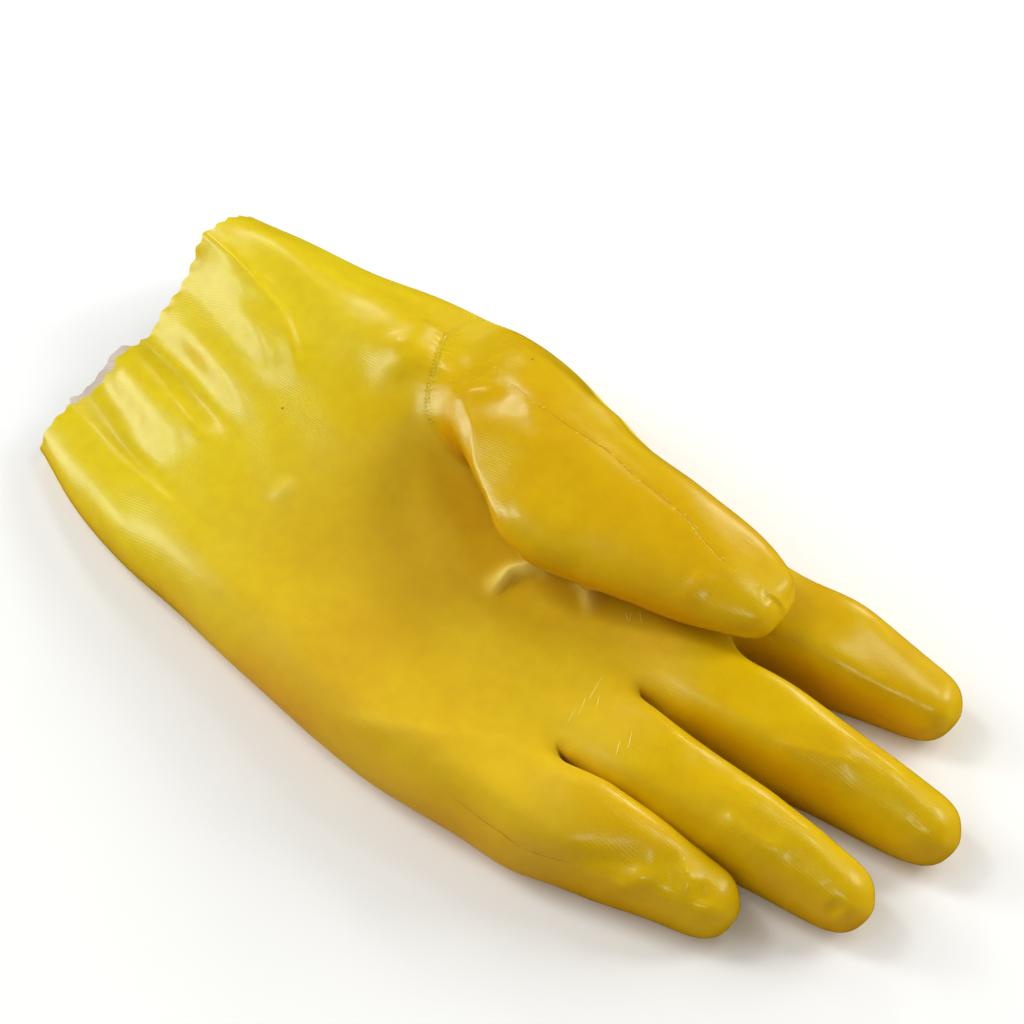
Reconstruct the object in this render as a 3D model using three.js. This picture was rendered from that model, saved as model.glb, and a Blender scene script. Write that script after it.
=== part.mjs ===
// A left-hand work glove of coated cotton jersey. It lies palm up, with its thumb folded across the palm.
// Millimetres. +X runs from the cuff to the fingertips, +Y to the thumb's side and +Z up to the palm.
// The glove's outer skin is a cage of quads worked out from the tables below, and each piece is a wall built
// inward from its share of the skin. The palm panel and the back panel meet along the outseam, halfway down
// the sides of the hand and of the fingers, and the thumb is set into a hole in the palm panel.
import * as THREE from "three";

// Wall thicknesses and the clearance between touching pieces
const COATED_WALL = 1.3;
const LINING_WALL = 1.0;
const PIECE_GAP = 0.3;

// The lining's sleeve: how many rows deep it is, and how far it shows past the coat on the back and on the palm
const LINING_ROWS = 7;
const LINING_SHOWS_BACK = 4.5;
const LINING_SHOWS_PALM = -0.8;

// Sections across the hand. crown holds the palm's height at each share of the way from the near edge.
const CROWN_SHARES = [0, 0.09, 0.2, 0.32, 0.45, 0.6, 0.74, 0.88, 1];
const SECTIONS = [
  { x: -122, nearY: -58, farY: 42, nearZ: 4, farZ: 11, crown: [8, 10, 11, 10, 13, 19, 28, 26, 17] },
  { x: -105, nearY: -66, farY: 43, nearZ: 5, farZ: 11, crown: [9, 13, 14, 15, 19, 25, 29, 28, 18] },
  { x: -88, nearY: -72, farY: 44, nearZ: 6, farZ: 12, crown: [11, 16, 18, 20, 24, 28, 30, 28, 19] },
  { x: -70, nearY: -77, farY: 46, nearZ: 8, farZ: 12, crown: [13, 19, 21, 23, 26, 29, 30, 28, 21] },
  { x: -52, nearY: -80, farY: 48, nearZ: 9, farZ: 13, crown: [15, 21, 22, 23, 26, 30, 32, 30, 22] },
  { x: -35, nearY: -83, farY: 49, nearZ: 10, farZ: 13, crown: [17, 23, 21, 22, 25, 29, 33, 30, 22] },
  { x: -18, nearY: -86, farY: 48, nearZ: 11, farZ: 13, crown: [20, 24, 20, 19, 20, 22, 25, 26, 21] },
  { x: 0, nearY: -89, farY: 45, nearZ: 12, farZ: 12, crown: [23, 25, 19, 17, 16, 16, 17, 20, 20] },
  { x: 18, nearY: -91, farY: 40, nearZ: 12, farZ: 12, crown: [24, 26, 19, 15, 14, 14, 15, 17, 18] },
  { x: 36, nearY: -91, farY: 34, nearZ: 12, farZ: 12, crown: [24, 26, 20, 17, 16, 16, 17, 18, 18] },
  { x: 52, nearY: -90, farY: 30, nearZ: 12, farZ: 12, crown: [23, 26, 23, 22, 21, 21, 22, 21, 18] },
  { x: 70, nearY: -89, farY: 27, nearZ: 12, farZ: 12, crown: [22, 25, 24, 24, 24, 24, 24, 22, 18] },
];

// Folds and dents of the upper side: each runs from one point to another, with its height and its width.
// A fold keeps its full height up to a share of its length, and fades out over the next share of it.
const FOLDS = [
  { name: "cuff ridge", fromX: -124, fromY: 17, toX: -64, toY: -8, height: 4, width: 5 },
  { name: "cuff valley by the ridge", fromX: -124, fromY: -11, toX: -72, toY: -31, height: -3.5, width: 5 },
  { name: "middle cuff ridge", fromX: -124, fromY: -21, toX: -76, toY: -38, height: 3.5, width: 5 },
  { name: "near cuff valley", fromX: -124, fromY: -33, toX: -76, toY: -52, height: -3, width: 5 },
  { name: "wrist bump", fromX: -66, fromY: 18, toX: -44, toY: 14, height: 3, width: 10 },
  { name: "dent over the thumb's root", fromX: -30, fromY: 24, toX: -22, toY: 18, height: -4, width: 8 },
];
const FOLD_FADE_FROM = 0.65;
const FOLD_FADE_OVER = 0.5;

// The cage: rows from the cuff's mouth to the finger roots, and columns across the palm, four to a finger
const ROW_X = [
  -122, -115, -107, -99, -91, -83, -75, -67, -58, -49, -40,
  -31, -22, -12.5, -3, 6.5, 16, 25, 34, 43, 51.5, 60,
];
const COLUMNS = 16;
const FINGER_COLUMNS = 4;
const FINGER_SIDE_COLUMNS = 2;
const EDGE_SHARE = 0.035;
const EDGE_RISE = 0.12;

// The line of the finger roots, from the little finger's side to the index finger's side
const ROOT_SHARES = [0, 0.25, 0.5, 0.75, 1];
const ROOT_X = [54, 55, 60, 72, 74];
const ROOT_BEND = 60;
const GROOVE_LENGTH = 16;
const GROOVE_DEPTH = 2;
const WEB_SETBACK = 1;

// The hole that the thumb is set into: its rows and columns, and the pulls that round its corners
const THUMB_HOLE = { firstRow: 10, lastRow: 15, firstColumn: 10, lastColumn: 16 };
const HOLE_PULLS = [
  { x: -40, y: -2, moveX: 11, moveY: 3, reach: 15 },
  { x: 6.5, y: -2, moveX: -6, moveY: 13, reach: 16 },
];

// Fingers: where each starts across the hand, where its tip is, its width and height at root, middle and tip
const FINGERS = [
  { rootY: -76.5, tipX: 116, tipY: -69.5, widths: [26, 23.5, 20], heights: [25, 24, 18] },
  { rootY: -49, tipX: 141, tipY: -48.5, widths: [25.2, 25.4, 21], heights: [26, 25, 19] },
  { rootY: -22, tipX: 147, tipY: -21, widths: [25.4, 26.4, 22], heights: [26, 25, 19] },
  { rootY: 9.5, tipX: 130, tipY: 11.5, widths: [33, 28, 21], heights: [25, 24, 18] },
];
const FINGER_STEP = 8;
const TIP_ROUNDING = 0.62;
const TIP_ANGLES = [32, 56, 74];

// Thumb: each section's upper and lower line, seen from the side, and its near and far edges
const THUMB_SECTIONS = [
  { topX: -28, topZ: 36.5, underX: 10, underZ: 20.8, nearY: -3.5, farY: 39 },
  { topX: -18, topZ: 39.5, underX: 14, underZ: 21, nearY: -10.5, farY: 35.5 },
  { topX: -8, topZ: 41, underX: 19, underZ: 21.3, nearY: -16.5, farY: 31.5 },
  { topX: 3, topZ: 42, underX: 25, underZ: 21.7, nearY: -22, farY: 28 },
  { topX: 13, topZ: 42.5, underX: 32, underZ: 22, nearY: -24.5, farY: 25 },
  { topX: 23, topZ: 42.5, underX: 39, underZ: 22.3, nearY: -23.8, farY: 23 },
  { topX: 33, topZ: 42.5, underX: 46, underZ: 22.8, nearY: -22.3, farY: 21.5 },
  { topX: 43, topZ: 42.5, underX: 53, underZ: 23.2, nearY: -20.7, farY: 20 },
  { topX: 54, topZ: 42, underX: 61, underZ: 23.6, nearY: -18.7, farY: 18.5 },
  { topX: 64, topZ: 41, underX: 69, underZ: 24, nearY: -16.5, farY: 16.5 },
  { topX: 73, topZ: 39.5, underX: 76.5, underZ: 24.8, nearY: -14, farY: 13.5 },
  { topX: 81, topZ: 37, underX: 83, underZ: 26, nearY: -10.5, farY: 9.5 },
];

// How square a tube's section is at its root and along it, and over how many rings it grows out of its root
const ROUND_SECTION = 2.2;
const SQUARE_ROOT_SECTION = 4.2;
const SQUARE_ROOT_RINGS = 5;
const FINGER_BLEND_RINGS = 3;
const THUMB_BLEND_RINGS = 2.5;
const FINGER_ROOT_WIDTH = 0.9;
const CAP_INSET = 0.85;
const CAP_BULGE = 0.42;

// A step from 0 to 1 that starts and ends level
function smoothStep(t) {
  const u = Math.min(1, Math.max(0, t));
  return u * u * (3 - 2 * u);
}

// The value at x of a smooth curve through the points (xs, ys)
function curveAt(xs, ys, x) {
  const last = xs.length - 1;
  const clamped = Math.min(xs[last], Math.max(xs[0], x));
  let i = 0;
  while (i < last - 1 && clamped >= xs[i + 1]) i += 1;
  const slope = (k) => {
    const before = Math.max(k - 1, 0);
    const after = Math.min(k + 1, last);
    return (ys[after] - ys[before]) / (xs[after] - xs[before]);
  };
  const step = xs[i + 1] - xs[i];
  const t = (clamped - xs[i]) / step;
  const startShare = 2 * t ** 3 - 3 * t ** 2 + 1;
  const endShare = 1 - startShare;
  const startSlope = (t ** 3 - 2 * t ** 2 + t) * step * slope(i);
  const endSlope = (t ** 3 - t ** 2) * step * slope(i + 1);
  return startShare * ys[i] + startSlope + endShare * ys[i + 1] + endSlope;
}

const SECTION_XS = SECTIONS.map((section) => section.x);

// One column of the hand's sections at x
function sectionAt(column, x) {
  return curveAt(SECTION_XS, SECTIONS.map((section) => section[column]), x);
}

// The palm's height at x and a share of the way across
function crownAt(x, share) {
  const heights = CROWN_SHARES.map((_, k) => {
    return curveAt(SECTION_XS, SECTIONS.map((section) => section.crown[k]), x);
  });
  return curveAt(CROWN_SHARES, heights, share);
}

// What the folds and dents add to the height at a point of the upper side
function foldHeight(x, y) {
  let total = 0;
  for (const fold of FOLDS) {
    const runX = fold.toX - fold.fromX;
    const runY = fold.toY - fold.fromY;
    const length = Math.hypot(runX, runY);
    const along = ((x - fold.fromX) * runX + (y - fold.fromY) * runY) / length ** 2;
    const away = Math.abs((y - fold.fromY) * runX - (x - fold.fromX) * runY) / length;
    const fade = smoothStep((FOLD_FADE_FROM + FOLD_FADE_OVER - along) / FOLD_FADE_OVER);
    total += fold.height * Math.exp(-((away / fold.width) ** 2)) * fade;
  }
  return total;
}

// The cage's points and quads, each quad marked with the piece that it belongs to
const points = [];
const quads = [];

function addPoint(x, y, z) {
  points.push(new THREE.Vector3(x, y, z));
  return points.length - 1;
}

function addQuad(piece, a, b, c, d) {
  quads.push({ piece, corners: [a, b, c, d] });
}

// The hand's rows: the palm's points, the back's points, and one point along each side
function makeHandRows() {
  const rows = [];
  const lastX = ROW_X[ROW_X.length - 1];
  for (const rowX of ROW_X) {
    const row = { palm: [], back: [] };
    const bend = smoothStep(rowX / ROOT_BEND);
    const groove = smoothStep((rowX - lastX + GROOVE_LENGTH) / GROOVE_LENGTH);
    for (let column = 0; column <= COLUMNS; column += 1) {
      const share = EDGE_SHARE + ((1 - 2 * EDGE_SHARE) * column) / COLUMNS;
      const x = rowX + bend * (curveAt(ROOT_SHARES, ROOT_X, share) - lastX);
      const nearY = sectionAt("nearY", x);
      const farY = sectionAt("farY", x);
      const y = nearY + share * (farY - nearY);
      const edge = column === 0 || column === COLUMNS;
      const between = !edge && column % FINGER_COLUMNS === 0;
      let palmX = x;
      let palmY = y;
      for (const pull of HOLE_PULLS) {
        const nearness = Math.exp(-((palmX - pull.x) ** 2 + (palmY - pull.y) ** 2) / pull.reach ** 2);
        palmX += pull.moveX * nearness;
        palmY += pull.moveY * nearness;
      }
      let palmZ = crownAt(palmX, (palmY - nearY) / (farY - nearY));
      let backZ = 0;
      if (edge) {
        backZ = EDGE_RISE * sectionAt(column === 0 ? "nearZ" : "farZ", x);
      } else {
        palmZ += foldHeight(palmX, palmY);
      }
      if (between) {
        palmZ -= GROOVE_DEPTH * groove;
        backZ += GROOVE_DEPTH * groove;
      }
      row.palm.push(addPoint(palmX, palmY, palmZ));
      row.back.push(addPoint(x, y, backZ));
    }
    const nearX = points[row.palm[0]].x;
    const farX = points[row.palm[COLUMNS]].x;
    row.near = addPoint(nearX, sectionAt("nearY", nearX), sectionAt("nearZ", nearX));
    row.far = addPoint(farX, sectionAt("farY", farX), sectionAt("farZ", farX));
    rows.push(row);
  }
  return rows;
}

function inThumbHole(row, column) {
  const hole = THUMB_HOLE;
  const inRows = row >= hole.firstRow && row < hole.lastRow;
  return inRows && column >= hole.firstColumn && column < hole.lastColumn;
}

function addHandQuads(rows) {
  for (let i = 0; i < rows.length - 1; i += 1) {
    const here = rows[i];
    const next = rows[i + 1];
    for (let column = 0; column < COLUMNS; column += 1) {
      const over = column + 1;
      if (!inThumbHole(i, column)) {
        addQuad("palm", here.palm[column], next.palm[column], next.palm[over], here.palm[over]);
      }
      addQuad("back", here.back[over], next.back[over], next.back[column], here.back[column]);
    }
    addQuad("palm", here.near, next.near, next.palm[0], here.palm[0]);
    addQuad("back", here.back[0], next.back[0], next.near, here.near);
    addQuad("palm", here.palm[COLUMNS], next.palm[COLUMNS], next.far, here.far);
    addQuad("back", here.far, next.far, next.back[COLUMNS], here.back[COLUMNS]);
  }
}

// Where each point of a tube's ring lies on a square from -1 to 1: over the top, down, back and up again
function ringSquare(acrossCount, downCount) {
  const square = [];
  for (let k = 0; k <= acrossCount; k += 1) square.push([-1 + (2 * k) / acrossCount, 1]);
  for (let k = 1; k < downCount; k += 1) square.push([1, 1 - (2 * k) / downCount]);
  for (let k = 0; k <= acrossCount; k += 1) square.push([1 - (2 * k) / acrossCount, -1]);
  for (let k = 1; k < downCount; k += 1) square.push([-1, -1 + (2 * k) / downCount]);
  return square;
}

// A tube that grows out of a loop of points through a list of rings, closed at its tip.
// Its upper and its lower half can belong to two pieces, which meet halfway down its sides.
function addTube(tube) {
  const { loop, acrossCount, downCount, rings } = tube;
  const square = ringSquare(acrossCount, downCount);
  const farSide = acrossCount + downCount / 2;
  const nearSide = square.length - downCount / 2;
  const roots = loop.map((index) => points[index].clone());
  const rootCentre = new THREE.Vector3();
  for (const root of roots) rootCentre.addScaledVector(root, 1 / roots.length);
  let previous = loop;
  rings.forEach((ring, step) => {
    const grown = smoothStep((step + 1) / tube.blendRings);
    const power = tube.squareness(step);
    const ids = square.map(([across, up], k) => {
      const size = (Math.abs(across) ** power + Math.abs(up) ** power) ** (1 / power);
      const shaped = ring.centre.clone();
      shaped.addScaledVector(ring.half, across / size);
      shaped.addScaledVector(ring.rise, up / size);
      const carried = roots[k].clone().sub(rootCentre);
      carried.y *= tube.rootWidth;
      carried.add(ring.centre);
      const point = carried.lerp(shaped, grown);
      if (tube.folded && up > 0) point.z += up * foldHeight(point.x, point.y);
      return addPoint(point.x, point.y, point.z);
    });
    ids.forEach((id, k) => {
      const over = (k + 1) % ids.length;
      const piece = k >= farSide && k < nearSide ? tube.lowerPiece : tube.upperPiece;
      addQuad(piece, previous[k], id, ids[over], previous[over]);
    });
    previous = ids;
  });
  addCap(tube, previous);
}

// The closed end of a tube: a small bulged patch of quads inside its last ring
function addCap(tube, ring) {
  const { acrossCount, downCount, rings } = tube;
  const last = rings[rings.length - 1];
  const before = rings[rings.length - 2];
  const forward = last.centre.clone().sub(before.centre).normalize();
  const radius = Math.min(last.half.length(), last.rise.length());
  const patch = [];
  for (let down = 0; down <= downCount; down += 1) {
    patch.push([]);
    for (let k = 0; k <= acrossCount; k += 1) {
      if (down === 0) {
        patch[down].push(ring[k]);
      } else if (down === downCount) {
        patch[down].push(ring[2 * acrossCount + downCount - k]);
      } else if (k === 0) {
        patch[down].push(ring[ring.length - down]);
      } else if (k === acrossCount) {
        patch[down].push(ring[acrossCount + down]);
      } else {
        const across = -1 + (2 * k) / acrossCount;
        const up = 1 - (2 * down) / downCount;
        const bulge = CAP_BULGE * radius * Math.sqrt((1 - across ** 2) * (1 - up ** 2));
        const point = last.centre.clone();
        point.addScaledVector(last.half, CAP_INSET * across);
        point.addScaledVector(last.rise, CAP_INSET * up);
        point.addScaledVector(forward, bulge);
        patch[down].push(addPoint(point.x, point.y, point.z));
      }
    }
  }
  for (let down = 0; down < downCount; down += 1) {
    const piece = down < downCount / 2 ? tube.upperPiece : tube.lowerPiece;
    for (let k = 0; k < acrossCount; k += 1) {
      addQuad(piece, patch[down][k], patch[down + 1][k], patch[down + 1][k + 1], patch[down][k + 1]);
    }
  }
}

// A size that goes from its root value through its middle value to its tip value
function sizeAlong([root, middle, tip], t) {
  return t < 0.5 ? root + (middle - root) * 2 * t : middle + (tip - middle) * (2 * t - 1);
}

function addFingers(rows) {
  const last = rows[rows.length - 1];
  const webs = { 0: last.near, [COLUMNS]: last.far };
  for (let column = FINGER_COLUMNS; column < COLUMNS; column += FINGER_COLUMNS) {
    const above = points[last.palm[column]];
    const below = points[last.back[column]];
    webs[column] = addPoint((above.x + below.x) / 2 - WEB_SETBACK, above.y, (above.z + below.z) / 2);
  }
  FINGERS.forEach((finger, order) => {
    const first = FINGER_COLUMNS * order;
    const end = first + FINGER_COLUMNS;
    const loop = [...last.palm.slice(first, end + 1), webs[end]];
    loop.push(...last.back.slice(first, end + 1).reverse(), webs[first]);
    const rootX = loop.reduce((sum, index) => sum + points[index].x, 0) / loop.length;
    const length = finger.tipX - rootX;
    const tipRadius = TIP_ROUNDING * finger.heights[2];
    const straight = length - tipRadius;
    const stepCount = Math.round(length / FINGER_STEP) - TIP_ANGLES.length;
    const distances = [];
    for (let k = 1; k <= stepCount; k += 1) distances.push((straight * k) / stepCount);
    for (const angle of TIP_ANGLES) distances.push(straight + tipRadius * Math.sin((angle * Math.PI) / 180));
    const slant = Math.atan2(finger.tipY - finger.rootY, length);
    const rings = distances.map((distance) => {
      const t = Math.min(1, distance / straight);
      const intoTip = Math.max(0, (distance - straight) / tipRadius);
      const narrowing = Math.sqrt(1 - intoTip ** 2);
      const width = sizeAlong(finger.widths, t) * narrowing;
      const height = sizeAlong(finger.heights, t);
      const y = finger.rootY + ((finger.tipY - finger.rootY) * distance) / length;
      return {
        centre: new THREE.Vector3(rootX + distance, y, height / 2),
        half: new THREE.Vector3(-Math.sin(slant), Math.cos(slant), 0).multiplyScalar(width / 2),
        rise: new THREE.Vector3(0, 0, (height * narrowing) / 2),
      };
    });
    const squareness = (step) => {
      const rounding = smoothStep(step / SQUARE_ROOT_RINGS);
      return SQUARE_ROOT_SECTION + (ROUND_SECTION - SQUARE_ROOT_SECTION) * rounding;
    };
    addTube({
      upperPiece: "palm",
      lowerPiece: "back",
      loop,
      acrossCount: FINGER_COLUMNS,
      downCount: FINGER_SIDE_COLUMNS,
      rings,
      blendRings: FINGER_BLEND_RINGS,
      rootWidth: FINGER_ROOT_WIDTH,
      squareness,
      folded: false,
    });
  });
}

// The loop of points round the thumb's hole, in a ring's order: cuff side, far side, finger side, near side
function thumbHoleLoop(rows) {
  const { firstRow, lastRow, firstColumn, lastColumn } = THUMB_HOLE;
  const loop = [];
  for (let column = firstColumn; column <= lastColumn; column += 1) loop.push(rows[firstRow].palm[column]);
  for (let row = firstRow + 1; row < lastRow; row += 1) loop.push(rows[row].palm[lastColumn]);
  for (let column = lastColumn; column >= firstColumn; column -= 1) loop.push(rows[lastRow].palm[column]);
  for (let row = lastRow - 1; row > firstRow; row -= 1) loop.push(rows[row].palm[firstColumn]);
  return loop;
}

function addThumb(loop) {
  const rings = THUMB_SECTIONS.map((section) => {
    const { topX, topZ, underX, underZ, nearY, farY } = section;
    return {
      centre: new THREE.Vector3((topX + underX) / 2, (nearY + farY) / 2, (topZ + underZ) / 2),
      half: new THREE.Vector3(0, (farY - nearY) / 2, 0),
      rise: new THREE.Vector3((topX - underX) / 2, 0, (topZ - underZ) / 2),
    };
  });
  addTube({
    upperPiece: "thumb",
    lowerPiece: "thumb",
    loop,
    acrossCount: THUMB_HOLE.lastColumn - THUMB_HOLE.firstColumn,
    downCount: THUMB_HOLE.lastRow - THUMB_HOLE.firstRow,
    rings,
    blendRings: THUMB_BLEND_RINGS,
    rootWidth: 1,
    squareness: () => ROUND_SECTION,
    folded: true,
  });
}

// Where each cage point comes to lie on the smooth surface that the cage stands for
function smoothPoints() {
  const edgeOwners = new Map();
  const around = points.map(() => ({ sides: new Map(), diagonals: [] }));
  for (const { corners } of quads) {
    corners.forEach((corner, k) => {
      const next = corners[(k + 1) % 4];
      const key = Math.min(corner, next) + "-" + Math.max(corner, next);
      edgeOwners.set(key, (edgeOwners.get(key) ?? 0) + 1);
      around[corner].sides.set(next, key);
      around[next].sides.set(corner, key);
      around[corner].diagonals.push(corners[(k + 2) % 4]);
    });
  }
  return points.map((point, index) => {
    const { sides, diagonals } = around[index];
    const open = [...sides].filter(([, key]) => edgeOwners.get(key) === 1).map(([side]) => side);
    const smooth = point.clone();
    if (open.length === 2) {
      smooth.multiplyScalar(4).add(points[open[0]]).add(points[open[1]]);
      return smooth.divideScalar(6);
    }
    const valence = diagonals.length;
    smooth.multiplyScalar(valence ** 2);
    for (const side of sides.keys()) smooth.addScaledVector(points[side], 4);
    for (const diagonal of diagonals) smooth.add(points[diagonal]);
    return smooth.divideScalar(valence * (valence + 5));
  });
}

// The outward direction at each point of the skin. On a seam it leans evenly to the pieces that meet there.
function skinNormals(skin) {
  const normals = skin.map(() => new THREE.Vector3());
  for (const piece of ["palm", "back", "thumb"]) {
    const sums = skin.map(() => new THREE.Vector3());
    for (const { corners } of quads.filter((quad) => quad.piece === piece)) {
      const [a, b, c, d] = corners.map((corner) => skin[corner]);
      const facing = c.clone().sub(a).cross(d.clone().sub(b));
      for (const corner of corners) sums[corner].add(facing);
    }
    sums.forEach((sum, k) => normals[k].add(sum.normalize()));
  }
  return normals.map((normal) => normal.normalize());
}

function geometryOf(vertices, triangles) {
  const geometry = new THREE.BufferGeometry();
  const numbers = vertices.flatMap((vertex) => vertex.toArray());
  geometry.setAttribute("position", new THREE.Float32BufferAttribute(numbers, 3));
  geometry.setIndex(triangles);
  geometry.computeVertexNormals();
  return geometry;
}

// A quad's corners, turned so that it splits into triangles along its shorter diagonal
function turnedToShort(corners, places) {
  const [a, b, c, d] = corners.map((corner) => places[corner]);
  return a.distanceTo(c) <= b.distanceTo(d) ? corners : [...corners.slice(1), corners[0]];
}

// A closed wall between two matching skins, given as quads of indices into both
function wallGeometry(outer, inner, faces) {
  const used = [...new Set(faces.flat())];
  const order = new Map(used.map((index, k) => [index, k]));
  const count = used.length;
  const vertices = [...used.map((index) => outer[index]), ...used.map((index) => inner[index])];
  const triangles = [];
  const edgesOf = (face) => face.map((corner, k) => corner + ">" + face[(k + 1) % 4]);
  const edges = new Set(faces.flatMap(edgesOf));
  const pushQuad = (a, b, c, d) => triangles.push(a, b, c, a, c, d);
  for (const face of faces) {
    const [a, b, c, d] = turnedToShort(face, outer).map((corner) => order.get(corner));
    pushQuad(a, b, c, d);
    triangles.push(a + count, c + count, b + count, a + count, d + count, c + count);
    face.forEach((corner, k) => {
      const next = face[(k + 1) % 4];
      if (!edges.has(next + ">" + corner)) {
        const from = order.get(corner);
        const to = order.get(next);
        pushQuad(...turnedToShort([to, from, from + count, to + count], vertices));
      }
    });
  }
  return geometryOf(vertices, triangles);
}

// One coated piece: its quads of the skin as a wall, drawn back from each seam by half the gap at it
function coatedPiece(piece, skin, normals) {
  const faces = quads.filter((quad) => quad.piece === piece).map((quad) => quad.corners);
  const others = quads.filter((quad) => quad.piece !== piece);
  const shared = new Set(others.flatMap((quad) => quad.corners));
  const seam = [...new Set(faces.flat())].filter((index) => shared.has(index));
  const outer = [...skin];
  for (const index of seam) {
    const middle = new THREE.Vector3();
    const touching = faces.filter((face) => face.includes(index));
    for (const face of touching) for (const corner of face) middle.add(skin[corner]);
    middle.divideScalar(4 * touching.length).sub(skin[index]);
    middle.addScaledVector(normals[index], -middle.dot(normals[index])).normalize();
    outer[index] = skin[index].clone().addScaledVector(middle, PIECE_GAP / 2);
  }
  const inner = outer.map((point, k) => point.clone().addScaledVector(normals[k], -COATED_WALL));
  return wallGeometry(outer, inner, faces);
}

// The lining's sleeve inside the cuff, whose cut edge shows past the coat on the back of the hand
function liningPiece(rows, skin, normals) {
  const outer = [];
  const inner = [];
  const faces = [];
  const ringSize = 2 * COLUMNS + 4;
  for (let depth = 0; depth <= LINING_ROWS; depth += 1) {
    const ringOf = (row) => [...row.palm, row.far, ...[...row.back].reverse(), row.near];
    const ring = ringOf(rows[depth]);
    ring.forEach((index, k) => {
      const shift = new THREE.Vector3();
      if (depth === 0) {
        const towardsEdge = skin[index].clone().sub(skin[ringOf(rows[1])[k]]).normalize();
        const onBack = k > COLUMNS + 1 && k < ringSize - 1;
        const share = onBack ? Math.sin((Math.PI * (k - COLUMNS - 1)) / (COLUMNS + 2)) : 0;
        const shows = LINING_SHOWS_PALM + (LINING_SHOWS_BACK - LINING_SHOWS_PALM) * Math.min(1, 2 * share);
        shift.addScaledVector(towardsEdge, shows);
      }
      const base = skin[index].clone().add(shift);
      const outside = COATED_WALL + PIECE_GAP;
      outer.push(base.clone().addScaledVector(normals[index], -outside));
      inner.push(base.clone().addScaledVector(normals[index], -outside - LINING_WALL));
      if (depth > 0) {
        const over = (k + 1) % ringSize;
        const here = (depth - 1) * ringSize;
        faces.push([here + k, here + ringSize + k, here + ringSize + over, here + over]);
      }
    });
  }
  return wallGeometry(outer, inner, faces);
}

const handRows = makeHandRows();
addHandQuads(handRows);
addFingers(handRows);
addThumb(thumbHoleLoop(handRows));
const skin = smoothPoints();
const normals = skinNormals(skin);

// The coat is glossy and golden yellow, and the lining is dull off-white cotton
const COAT_ROUGHNESS = 0.3;
const COTTON_ROUGHNESS = 0.95;

function namedMesh(name, geometry, color, roughness) {
  const material = new THREE.MeshStandardMaterial({ color, roughness, metalness: 0 });
  const mesh = new THREE.Mesh(geometry, material);
  mesh.name = name;
  return mesh;
}

const glove = new THREE.Group();
glove.add(namedMesh("coated_palm", coatedPiece("palm", skin, normals), 0xe6b800, COAT_ROUGHNESS));
glove.add(namedMesh("coated_back", coatedPiece("back", skin, normals), 0xdcae00, COAT_ROUGHNESS));
glove.add(namedMesh("coated_thumb", coatedPiece("thumb", skin, normals), 0xe0b000, COAT_ROUGHNESS));
glove.add(namedMesh("cotton_lining", liningPiece(handRows, skin, normals), 0xf0e6d8, COTTON_ROUGHNESS));

// The origin is the middle of the glove's box, on the surface that it lies on
const box = new THREE.Box3().setFromObject(glove);
const middle = box.getCenter(new THREE.Vector3());
glove.position.set(-middle.x, -middle.y, -box.min.z);

export default glove;
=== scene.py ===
import math

import bpy
import numpy as np
from mathutils import Matrix, Vector
from mathutils.bvhtree import BVHTree


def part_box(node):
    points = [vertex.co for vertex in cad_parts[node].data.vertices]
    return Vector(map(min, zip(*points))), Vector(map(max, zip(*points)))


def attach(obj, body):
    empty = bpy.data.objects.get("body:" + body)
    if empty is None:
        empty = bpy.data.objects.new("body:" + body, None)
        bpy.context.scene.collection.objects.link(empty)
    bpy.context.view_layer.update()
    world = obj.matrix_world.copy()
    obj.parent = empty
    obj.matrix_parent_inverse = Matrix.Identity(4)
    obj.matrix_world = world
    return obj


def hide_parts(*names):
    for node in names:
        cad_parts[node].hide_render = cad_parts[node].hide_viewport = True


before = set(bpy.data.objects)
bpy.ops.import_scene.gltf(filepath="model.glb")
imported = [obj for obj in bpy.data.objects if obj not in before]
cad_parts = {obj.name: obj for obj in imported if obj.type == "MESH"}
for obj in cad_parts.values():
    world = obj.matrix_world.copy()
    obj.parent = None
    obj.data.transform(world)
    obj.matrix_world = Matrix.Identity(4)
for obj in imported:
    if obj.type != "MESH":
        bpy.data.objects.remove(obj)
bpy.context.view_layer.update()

# A left-hand work glove of coated cotton jersey, lying palm up on its back with its thumb folded across it.
# The tables are in millimetres, in the glove's working frame: +X runs from the cuff to the fingertips, +Y to
# the thumb's side and +Z up from the back of the hand. make_skin moves the skin to the frame's origin.
MM = 0.001


def table(columns, rows):
    """The rows as dictionaries, by the names of their columns."""
    return [dict(zip(columns.split(), row)) for row in rows]


# Wall thicknesses, and the clearance between the coat and the lining
COATED_WALL = 1.3
LINING_WALL = 1.0
PIECE_GAP = 0.3

# The lining's sleeve: its depth in rows, and how far it shows past the coat on the back and on the palm
LINING_ROWS = 7
LINING_SHOWS_BACK = 4.5
LINING_SHOWS_PALM = -0.8
LINING_PEEK = {"from_y": -24, "to_y": 8, "shows": 4.6, "fade": 5}

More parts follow.
